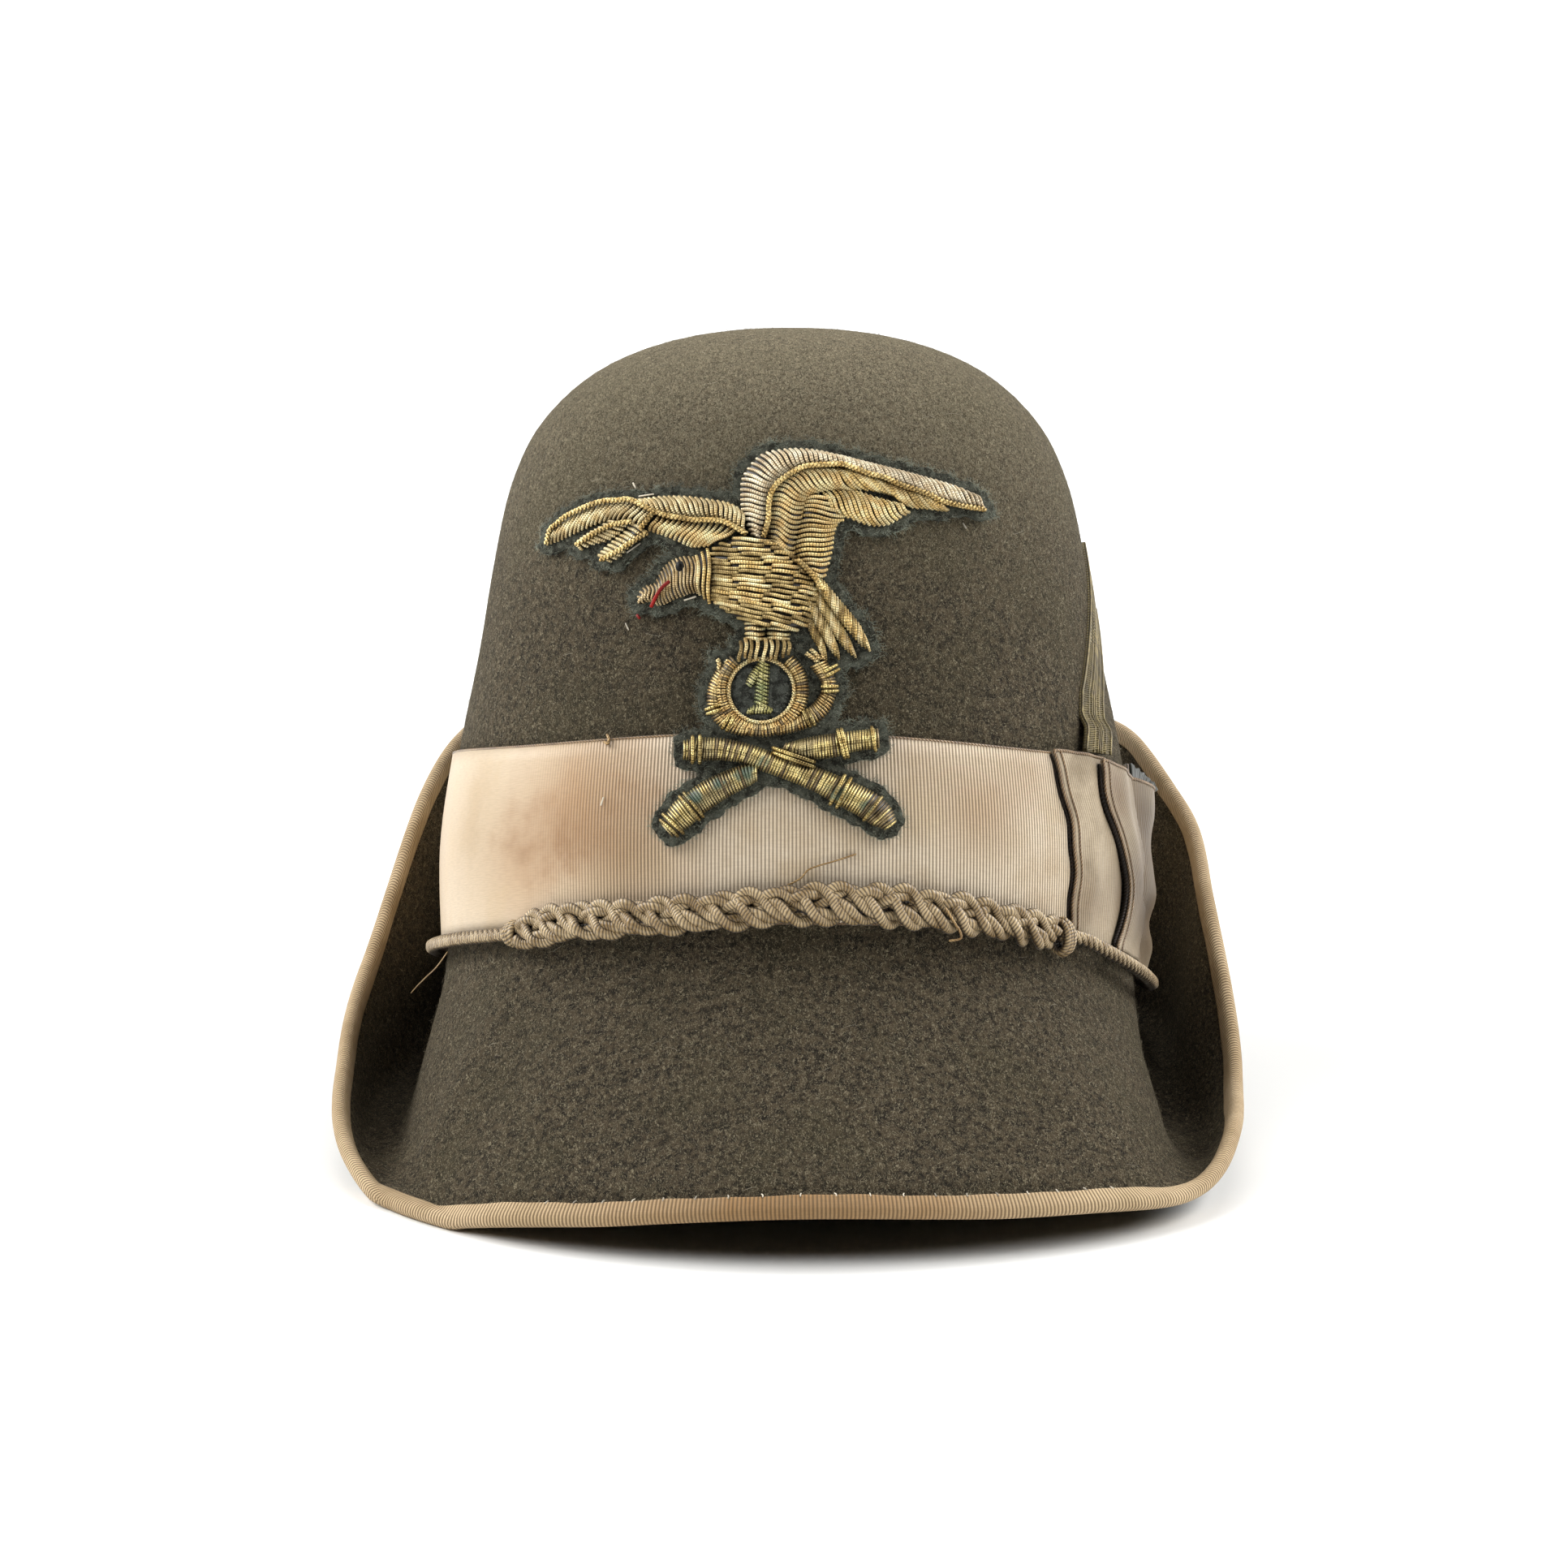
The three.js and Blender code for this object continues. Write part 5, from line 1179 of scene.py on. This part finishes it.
def makeBarrels():
    for node, table in barrels["nodes"].items():
        front = node == "barrel_front"
        raised = barrels["frontRise"] if front else 0
        sets = badgeSets("wound", "dull", "ring")
        strip = acrossRows(table, barrels["skew"])
        layField(sets, "barrel", barrels["rise"] + raised, kindsOf["barrel"], 0, strip)
        rows = np.array(table)[:, :2]
        length = pathLength(rows)
        for barrel, at, halfWidth in barrels["rings"]:
            if barrel == node:
                place = np.interp(at * length[-1], length, np.arange(len(rows)))
                here, after = spline(rows, place), spline(rows, min(place + 0.05, len(rows) - 1))
                ahead = unit(after - here)
                side = np.array([-ahead[1], ahead[0]]) * halfWidth
                ends = [here + side, here, here - side]
                layWrap(sets["ring"], ends, barrels["ringRise"] + raised, barrels["ringRadius"])
        for coil in barrels["crossing"] if front else []:
            layWrap(sets["ring"], coil, barrels["crossingRise"], barrels["crossingRadius"])
        finishSets(node, sets, node)


makeBarrels()


# Disc, its numeral, and the eagle's eye and lip

disc = {
    "radius": 6.6, "grid": (14, 49),
    "lift": 0.5, "fall": 0.45, "soft": 0.8,  # how far it falls at its edge, and over what width
    # the numeral's strokes: laying, then x, z, half width along it, and its slant
    "rise": 1.1, "bow": 0.1,
    "strokes": [
        ("stem", [(-6.0, 60.7, 1.3), (-6.3, 55.5, 1.35), (-6.6, 50.2, 1.4)], 0.5),
        ("serif", [(-7, 59.2, 0.8), (-8.3, 56.9, 1.0), (-9.4, 54.9, 0.7)], 0),
    ],
    "foot": [(-9.6, 49.4, -9.7, 48.4), (-6.9, 50.8, -7.1, 48.4), (-4.1, 49.6, -4.3, 48.5)],
}
clothLooks = {
    # dark, middle, fibre; size of one fibre in mm
    "badge": ("#26261f", "#4f5147", "#9d9c88", 0.6),
    "disc": ("#23241f", "#4c4f48", "#93948a", 0.5),
}


def feltCut(name, look):
    # Thin felt, cut out: matt and fuzzy, with fibres in two tints
    material, tree, shader = newMaterial(name, Roughness=1.0, Specular_IOR_Level=0.2)
    place = addNode(tree, "TexCoord", out="Object")
    fibres = addNode(tree, "TexNoise", {
        "Vector": place, "Scale": 1000 / look[3], "Detail": 3, "Roughness": 0.8, "Distortion": 1.4})
    patches = addNode(tree, "TexNoise", {"Vector": place, "Scale": 500, "Detail": 3})
    wool = colour(look[0])
    for noise, spread, code in ((patches, (0.38, 0.62), look[1]), (fibres, (0.5, 0.72, 0, 0.7), look[2])):
        mask = addNode(tree, "MapRange", [noise, *spread], **soft)
        wool = addNode(tree, "Mix", {0: mask, 6: wool, 7: colour(code)}, 2, **tint)
    dressShader(tree, shader, wool, addNode(tree, "Math", [fibres, patches], operation="ADD"), 0.6)
    return material


def makeDisc():
    x, z = badge["disc"]
    rings, spokes = disc["grid"]
    edge = disc["radius"] + 0.3
    radius, turn = np.meshgrid(np.linspace(0.001, edge, rings), np.linspace(0, 2 * np.pi, spokes))
    flat = np.stack([x + radius * np.sin(turn), z + radius * np.cos(turn)], -1)
    fall = disc["fall"] * smooth((radius - disc["radius"] + 0.5) / disc["soft"])
    bm = bmesh.new()
    laySheet(bm, toFrame(onBadge(flat, disc["lift"] - fall)[0]))
    piece = finishMesh("darkDisc", bm, feltCut("Disc_Felt", clothLooks["disc"]), closed=False)
    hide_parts("number_disc")
    sets = badgeSets("green")
    strokes = [(laying, acrossRows(table, skew)) for laying, table, skew in disc["strokes"]]
    for laying, rows in (*strokes, ("serif", disc["foot"])):
        layField(sets, laying, disc["rise"], kindsOf["green"], disc["bow"], rows)
    finishSets("numeral", sets, "numeral")


details = {
    "eye": [(-25.2, 84.3), (-25.2, 83.3), (-25.3, 82.3)], "eyeRadii": (0.7, 1.1, 0.7), "eyeLift": 4.1,
    "lip": [(-27.6, 79.8), (-29.3, 78.4), (-30.6, 76.4), (-31.7, 74)], "lipLifts": (3.4, 2.6),
    "speck": [(-34.9, 72.4), (-34.6, 71.9), (-34.3, 71.5)],
    "lipRadius": 0.5, "speckLift": 0.4, "speckRadius": 0.35,
    "codes": {"black": ("#0b0907", "#070605", "#020202"), "red": ("#b3261d", "#8c1d17", "#4a120e")},
}


def makeDetails():
    # eye, red lip and a speck of red thread
    sets = {name: bmesh.new() for name in details["codes"]}
    layTube(sets["black"], *onBadge(details["eye"], details["eyeLift"]), details["eyeRadii"], 8, 0.7)
    lip = spline(details["lip"], np.linspace(0, 3, 12))
    layTube(sets["red"], *onBadge(lip, np.linspace(*details["lipLifts"], 12)), details["lipRadius"])
    layTube(sets["red"], *onBadge(details["speck"], details["speckLift"]), details["speckRadius"])
    for name, bm in sets.items():
        cloth = cordMaterial("Silk_" + name, details["codes"][name], 0.4, 0.04, 0.15)
        finishMesh("eagle" + name.capitalize() + "Thread", bm, cloth)


makeDisc()
makeDetails()
print("embroidery made")


# Backing of the badge

backing = {
    "middle": (-4, 66), "reach": (62, 56), "cells": (155, 140),
    "fibres": 5, "fibreLengths": (0.5, 1.6), "fibreWidth": 0.03, "fibreCode": "#868d7c",
    "fibreSpread": 0.5, "fibreLift": -0.25,
    # how its cut edge wavers: height, and radians for each mm across and up
    "wobbles": [(0.24, 1.3, 0.4), (0.18, -0.7, 2.1), (0.12, 3.3, 2.9)],
    # how often its rim is moved to the line, over what step the way there is felt for, how far it moves at
    # most, and how much it is smoothed then
    "trims": 4, "trimStep": 0.15, "trimMost": 0.5, "smoothing": 0.4,
}


def makeBacking():
    # The felt's outline follows the wires; it lies on the crown and climbs on to the band
    tree = KDTree(len(embroidered))
    for index, (x, z) in enumerate(embroidered):
        tree.insert((x, z, 0), index)
    tree.balance()

    def past(x, z):
        wobble = sum(height * math.sin(x * across + z * up) for height, across, up in backing["wobbles"])
        return tree.find((x, z, 0))[2] - badge["border"] - wobble

    bm = bmesh.new()
    columns, rows = backing["cells"]
    bmesh.ops.create_grid(bm, x_segments=columns, y_segments=rows, size=0.5)
    for vert in bm.verts:
        spot = np.array(vert.co[:2]) * 2 * backing["reach"] + backing["middle"]
        vert.co = (*spot, 0)
    over = {vert: past(vert.co.x, vert.co.y) for vert in bm.verts}
    gone = [face for face in bm.faces if min(over[vert] for vert in face.verts) > -0.2]
    bmesh.ops.delete(bm, geom=gone, context="FACES")
    rim = [vert for vert in bm.verts if vert.is_boundary]
    step, most = backing["trimStep"], backing["trimMost"]
    for vert in rim:
        for _ in range(backing["trims"]):
            x, y = vert.co.x, vert.co.y
            here = past(x, y)
            slope = Vector((past(x + step, y) - here, past(x, y + step) - here, 0)) / step
            if slope.length > 0.3:
                vert.co -= slope.normalized() * max(min(here, most), -most)
    bmesh.ops.smooth_vert(bm, verts=rim, factor=backing["smoothing"], use_axis_x=True, use_axis_y=True)
    flat = np.array([vert.co[:2] for vert in bm.verts])
    edge = [index for index, vert in enumerate(bm.verts) if vert.is_boundary]
    bulge = 0.12 * np.sin(flat[:, 0] * 0.9 + 1) * np.sin(flat[:, 1] * 0.8)
    for vert, place in zip(bm.verts, toFrame(onBadge(flat, bulge)[0])):
        vert.co = place
    for face in bm.faces:
        face.smooth = True
    cloth = feltCut("Badge_Felt", clothLooks["badge"])
    piece = finishSheet("badgeBacking", bm, cloth, badge["felt"], (0, -1, 0))
    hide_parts("badge_backing")
    # fibres round the cut edge and on the felt
    spread = backing["fibreSpread"]
    places = np.concatenate([flat[edge]] * backing["fibres"] + [flat[::2]])
    starts = [[value + chance.uniform(-spread, spread) for value in place] for place in places]
    points, out = onBadge(starts, backing["fibreLift"])
    ahead = unit(np.cross(out, scatter.normal(size=out.shape)))
    shortest, longest = backing["fibreLengths"]
    lengths = shortest + scatter.random(len(starts)) * (longest - shortest)
    fuzz = hairMaterial("Badge_Fibre", backing["fibreCode"])
    hairCurves("badgeFibres", points, ahead, out, lengths, backing["fibreWidth"], fuzz, "badge_felt")


makeBacking()
print("backing made")


# Cords: plait in front, braided cord round the back, wrap and knot

cords = {
    # the windings are drawn coarser than they are, which would be too fine to show
    "codes": ("#c9b086", "#94794f", "#2c2114"), "thread": 0.72,
    # azimuth, height, half height of the plait
    "plait": [
        (-43, -0.1, 3.3), (-34, 2.1, 3.7), (-23, 2.6, 3.8), (-11, 3.6, 4), (0, 5, 4), (8, 5.5, 4.1),
        (21, 4.1, 4), (32, 2, 3.9), (41, -0.3, 3.8),
    ],
    # lengths of one turn of the plait's strands and of the cords in a strand, and those cords' spread and
    # radius
    "period": 21.0, "twist": 13.0, "spread": 0.98, "radius": 1.22,
    # radius and lift of the dark core, which is painted shade behind the strands; then the strands' lift
    "shadowCore": 1.1, "shadowCoreLift": 3.0, "lift": 4.0,
    # how far the strands swing in and out and the cords roll round each other, how flat a cord is, and how
    # far the strands' middles stay within the plait's edge
    "swing": 0.75, "roll": 0.6, "flat": 0.86, "inset": 1.0,
    # azimuth, height, lift of the side cord
    "side": [
        (42.6, -0.6, 4.2), (48.5, -1.4, 4.4), (57, -5, 4.6), (66, -8, 4.8), (78, -9.7, 4.5), (94, -8, 4),
        (112, -1.5, 3.9), (132, 2.4, 3.9), (154, 2.8, 3.9), (178, 2.8, 3.9), (202, 2.8, 3.9), (224, 2.6, 3.9),
        (246, 1.2, 3.9), (266, -0.2, 3.8), (284, -0.3, 3.7), (300, -0.3, 3.6), (315.4, -0.2, 3.6),
    ],
    # strands of the side cord, their radius, spread and turn
    "braid": (4, 0.82, 0.84, 9.5),
    # azimuth, height, half height; and the lift, depth, radius and distance in degrees of their turns
    "knots": [("plait_wrap", -44.3, -0.1, 2.6), ("plait_knot", 43.2, -1.2, 4.4)],
    "knotLift": 3.9, "knotDepth": 2.0, "knotRadius": 0.9, "knotStep": 0.62,
}
gimp = cordMaterial("Silk_Gimp", cords["codes"], cords["thread"], 0.1)


def cordPath(table, step):
    # The line of a cord on the hat, evenly spaced: places along it, points, outwards, ahead, up, and the
    # table's third column
    fine = spline(table, np.linspace(0, len(table) - 1, 400))
    length = pathLength(wallPoint(fine[:, 0], fine[:, 1], 4))
    places = np.linspace(0, length[-1], int(length[-1] / step))
    azimuth, height, third = (np.interp(places, length, column) for column in fine.T)
    middle = wallPoint(azimuth, height, 0)
    out = unit(wallPoint(azimuth, height, 1) - middle)
    ahead = unit(np.gradient(middle, axis=0))
    return places, middle, out, ahead, unit(np.cross(out, ahead)), third


def makePlait():
    along, middle, out, ahead, up, half = cordPath(cords["plait"], 0.55)
    up[up[:, 2] < 0] *= -1
    half = half - cords["inset"]
    # a dark core behind the strands: painted shade in the gaps between them
    shadowCore = bmesh.new()
    for side in (-0.5, 0.5):
        layTube(shadowCore, middle + up * (half * side)[:, None] + out * cords["shadowCoreLift"], out, cords["shadowCore"])
    finishMesh("plaitShadowCore", shadowCore, wires["padding"])
    bm = bmesh.new()
    for strand in range(3):
        turn = along / cords["period"] * 2 * np.pi + strand * 2 * np.pi / 3
        rise = half * np.sin(turn) + 0.25 * np.sin(along * 0.37 + strand * 2)
        steep = np.gradient(rise, along)
        lean = np.sqrt(1 + steep**2)
        lift = cords["lift"] + cords["swing"] * np.sin(2 * turn) - cords["swing"] * np.cos(turn)
        for first in (0, np.pi):
            # the two cords of a strand are twisted loosely round each other
            phase = along / cords["twist"] * 2 * np.pi + first + strand * 2
            side = cords["spread"] * np.cos(phase)
            line = middle + up * (rise + side / lean)[:, None] - ahead * (side * steep / lean)[:, None]
            above = lift + cords["roll"] * np.sin(phase) + 0.12 * np.sin(along * 1.9 + strand)
            line = line + out * above[:, None]
            thick = cords["radius"] + 0.08 * np.sin(along * 0.9 + strand * 1.7 + first)
            layTube(bm, line, out, thick, 8, cords["flat"])
    piece = finishMesh("plaitedCord", bm, gimp)
    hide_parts("front_plait")


def makeSideCord():
    strands, radius, spread, period = cords["braid"]
    along, middle, out, _, up, lift = cordPath(cords["side"], 0.7)
    bm = bmesh.new()
    for strand in range(strands):
        turn = along / period * 2 * np.pi + strand * 2 * np.pi / strands
        line = middle + up * (spread * np.cos(turn))[:, None] + out * (lift + spread * np.sin(turn))[:, None]
        layTube(bm, line, out, radius)
    piece = finishMesh("braidedSideCord", bm, gimp)
    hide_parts("side_cord")


def makeKnots():
    # the wrapping at the plait's start, and the knot at its end: three turns each
    turn = np.linspace(0, 2 * np.pi, 25)
    for node, azimuth, height, half in cords["knots"]:
        bm = bmesh.new()
        for number in (-1, 0, 1):
            at = azimuth + number * cords["knotStep"] + 0.25 * np.sin(turn)
            tall = half * (1 - 0.12 * abs(number))
            lift = cords["knotLift"] + cords["knotDepth"] * np.sin(turn)
            line = wallPoint(at, height + tall * np.cos(turn), lift)
            out = unit(line - wallPoint(azimuth, height, cords["knotLift"]))
            layTube(bm, line, out, cords["knotRadius"], 8)
        piece = finishMesh(node + "_cord", bm, gimp)
        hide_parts(node)


makePlait()
makeSideCord()
makeKnots()
print("cords made")


# Lace: an upturned V of gold lace

lace = {
    # azimuth and height of its outer and its inner edge
    "rows": [
        (53, 42.5, 62.5, 43), (58, 58, 68, 57), (66.5, 71.5, 75, 68), (84, 99, 84, 82), (101.5, 71.5, 93, 68),
        (110, 59, 100, 58), (115, 49, 105.5, 49),
    ],
    "pale": "#847549", "worn": "#655836", "groove": "#2f2818", "pitch": 0.8, "depth": 0.12, "darkening": 0.5,
    "roughness": 0.45,
    "lift": 0.1, "overBand": 1.9, "bandTop": 53, "climb": 5, "width": 11, "thickness": 0.8,
    # raised lines: where across it, radius
    "lines": [(0.02, 0.36), (0.28, 0.2), (0.42, 0.26), (0.5, 0.26), (0.58, 0.26), (0.74, 0.2), (0.98, 0.36)],
    # threads across it, between its lines: step, how far each slants
    "weave": [(0.05, 0.4), (0.6, 0.95)], "weaveStep": 0.0062, "slant": 0.02, "weaveRadius": 0.2,
    "lifts": (0.45, 0.58, 0.52),  # of its cloth, its lines and its weave
    "outward": (1, -0.3, 0.2), "bulge": (1, 0.6, 0.1),  # where it looks, and how its threads point out
}
laceCloth = ribbonMaterial("Gold_Lace", lace)


def lacePoint(along, across, lift):
    # A place on the lace from 0 to 1 along its two arms, and from 0 to 1 across it
    rows = np.array(lace["rows"])
    place = np.asarray(along) * (len(rows) - 1)
    here = [np.interp(place, range(len(rows)), column) for column in rows.T]
    azimuth, height = (here[k] + (here[k + 2] - here[k]) * across for k in (0, 1))
    lift = lift + lace["lift"] + lace["overBand"] * smooth((lace["bandTop"] - height) / lace["climb"])
    return wallPoint(azimuth, height, lift)


def makeLace():
    along, across = np.linspace(0, 1, 73), np.linspace(0, 1, 11)
    clothLift, lineLift, weaveLift = lace["lifts"]
    points = lacePoint(along[:, None], across[None], clothLift)
    measure = uvNet(pathLength(points[:, 5])[:, None], across[None] * lace["width"])
    piece = sheetPiece(
        "goldLace", points, measure, laceCloth, lace["thickness"], lace["outward"])
    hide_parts("rank_lace")
    bm = bmesh.new()
    for place, radius in lace["lines"]:
        line = lacePoint(along, place, lineLift)
        layTube(bm, line, unit(line * lace["bulge"]), radius)
    finishMesh("laceLines", bm, wires["laceThread"])
    bm = bmesh.new()
    for part in np.arange(0.004, 0.996, lace["weaveStep"]):
        for start, end in lace["weave"]:
            cross = np.linspace(start, end, 4)
            line = lacePoint(part + (cross - start) * lace["slant"], cross, weaveLift)
            layTube(bm, line, unit(line * lace["bulge"]), lace["weaveRadius"], 4)
    finishMesh("laceWeave", bm, wires["laceThread"])


makeLace()

scrap = {
    "codes": ("#787c74", "#5a5e57", "#343630"),
    "azimuth": 73.5, "turn": 10, "bottom": 34.5, "top": 42.2, "fall": 5, "thickness": 0.7,
    "size": (12, 9), "outward": (1, -0.3, 0),
    "lifts": (2.6, 0.6, 4.4),  # at its bottom, and how much more at its top where it starts and ends
}


def makeScrap():
    cloth = cordMaterial("Teal_Lining", scrap["codes"], 0.5, 0.05)
    along, up = np.meshgrid(np.linspace(0, 1, 41), np.linspace(0, 1, 13))
    ragged = 0.35 * np.sin(along * 31) + 0.25 * np.sin(along * 73 + 1)
    top = scrap["top"] - scrap["fall"] * along + ragged
    height = scrap["bottom"] + (top - scrap["bottom"]) * up
    low, least, more = scrap["lifts"]
    points = wallPoint(scrap["azimuth"] + scrap["turn"] * along, height, low + (least + more * along) * up)
    measure = np.stack([along, up], -1) * scrap["size"]
    piece = sheetPiece(
        "liningScrap", points, measure, cloth, scrap["thickness"], scrap["outward"])
    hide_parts("lining_scrap")


makeScrap()
print("lace and scrap made")


# Loose threads and stitches

threads = {
    "loose": [  # azimuth, height, lift along each; and radius
        ([(-1.6, 8.2, 2.0), (1, 11, 2.4), (2.2, 13.2, 2.6), (5.5, 15, 2.4), (8.25, 16.5, 1.8)], 0.22),
        ([(-68, -3, 3), (-72, -7, 4), (-77, -9.5, 5), (-83, -13.5, 7)], 0.2),
        ([(20.5, 4.8, 6.4), (22, 0.6, 7.2), (22.8, -2.8, 6.6), (21.2, -3.6, 5.8)], 0.3),
        ([(-27.6, 44, 1.9), (-27.1, 43, 2.3), (-27.2, 42, 2.2), (-28, 42.4, 1.9)], 0.4),
    ],
    "looseCodes": ("#c9a468", "#a07c48", "#5a4222"),
    # white specks: x and z in front where each starts and ends, and lift
    "specks": [
        ((-42.8, 28.2), (-42.2, 30), 1.9), ((-37.6, 70.6), (-36.9, 69), 0.3),
        ((39.8, 94.6), (40.6, 93.4), 0.4), ((-34.8, 100.2), (-31.3, 100.5), 2.3),
        ((-37.4, 87), (-34.3, 89), 2.3), ((-24.1, 75), (-21.4, 75.8), 2.3),
        ((-36.2, 103.6), (-35.6, 102.3), 2.4),
    ],
    # stitches over the binding's edge: first azimuth, last, step; how far in from the brim's edge, and lifts
    "stitches": (-24, 33, 3.1), "inward": (4.4, 5.1, 5.7), "lifts": (0.9, 0.6, 0.1),
    "speckRadius": 0.2, "stitchRadius": 0.15,
    "whiteCode": "#d9cfba",
}


def makeThreads():
    bm = bmesh.new()
    for points, radius in threads["loose"]:
        azimuth, height, lift = spline(points, np.linspace(0, len(points) - 1, 24)).T
        line = wallPoint(azimuth, height, lift)
        layTube(bm, line, unit(line - wallPoint(azimuth, height, 0)), radius, 5)
    finishMesh("looseThreads", bm, cordMaterial("Loose_Thread", threads["looseCodes"], 0.8, 0.1))
    bm = bmesh.new()
    for start, end, lift in threads["specks"]:
        x, z = np.linspace(start, end, 4).T
        layTube(bm, *frontPoint(x, z, lift), threads["speckRadius"], 5)
    for azimuth in np.arange(*threads["stitches"]):
        slant = chance.uniform(-0.15, 0.15)
        places = brimRows(azimuth)[0] - np.array(threads["inward"])
        line, out = brimFace(np.array([azimuth, azimuth, azimuth + slant]), places)
        layTube(bm, line + out * np.array(threads["lifts"])[:, None], out, threads["stitchRadius"], 5)
    finishMesh("whiteStitches", bm, hairMaterial("White_Thread", threads["whiteCode"]))


makeThreads()
print("threads made")


# Stage: pale floor and soft studio light

stage = {
    "floor": "#f4f4f2", "size": 120, "spread": 40,
    "sky": (0.24, 0.45),  # strength of the room's light, level and from above
    # name, degrees round from the front, degrees up, strength
    "lights": [
        ("leftSoftbox", -72, 42, 2.0), ("rightSoftbox", 74, 42, 1.7), ("leftRim", -116, 32, 2.6),
        ("rightRim", 118, 32, 2.5), ("topSoftbox", 180, 65, 1.0),
    ],
}


def softLight(name, azimuth, elevation, strength):
    data = bpy.data.lights.new(name, "SUN")
    data.energy = strength
    data.angle = math.radians(stage["spread"])
    light = bpy.data.objects.new(name, data)
    turn, rise = math.radians(azimuth), math.radians(elevation)
    away = Vector((math.sin(turn) * math.cos(rise), -math.cos(turn) * math.cos(rise), math.sin(rise)))
    light.location = away * 2
    light.rotation_euler = away.to_track_quat("Z", "Y").to_euler()
    bpy.context.scene.collection.objects.link(light)


def makeStage():
    bm = bmesh.new()
    bmesh.ops.create_grid(bm, x_segments=1, y_segments=1, size=stage["size"])
    mesh = bpy.data.meshes.new("paleFloor")
    bm.to_mesh(mesh)
    bm.free()
    floor = bpy.data.objects.new("paleFloor", mesh)
    bpy.context.scene.collection.objects.link(floor)
    material, _, _ = newMaterial("Pale_Paper", Roughness=0.9, Base_Color=colour(stage["floor"]))
    mesh.materials.append(material)
    world = bpy.data.worlds.new("whiteRoom")
    world.use_nodes = True
    tree = world.node_tree
    backdrop = tree.nodes["Background"]
    upward = addNode(tree, "SeparateXYZ", [addNode(tree, "TexCoord", out="Generated")], 2)
    strength = addNode(tree, "MapRange", [upward, 0.0, 0.9, *stage["sky"]], **soft)
    tree.links.new(strength, backdrop.inputs["Strength"])
    bpy.context.scene.world = world
    bpy.context.scene.view_settings.view_transform = "Standard"
    for name, azimuth, elevation, strength in stage["lights"]:
        softLight(name, azimuth, elevation, strength)


makeStage()
print("stage made")
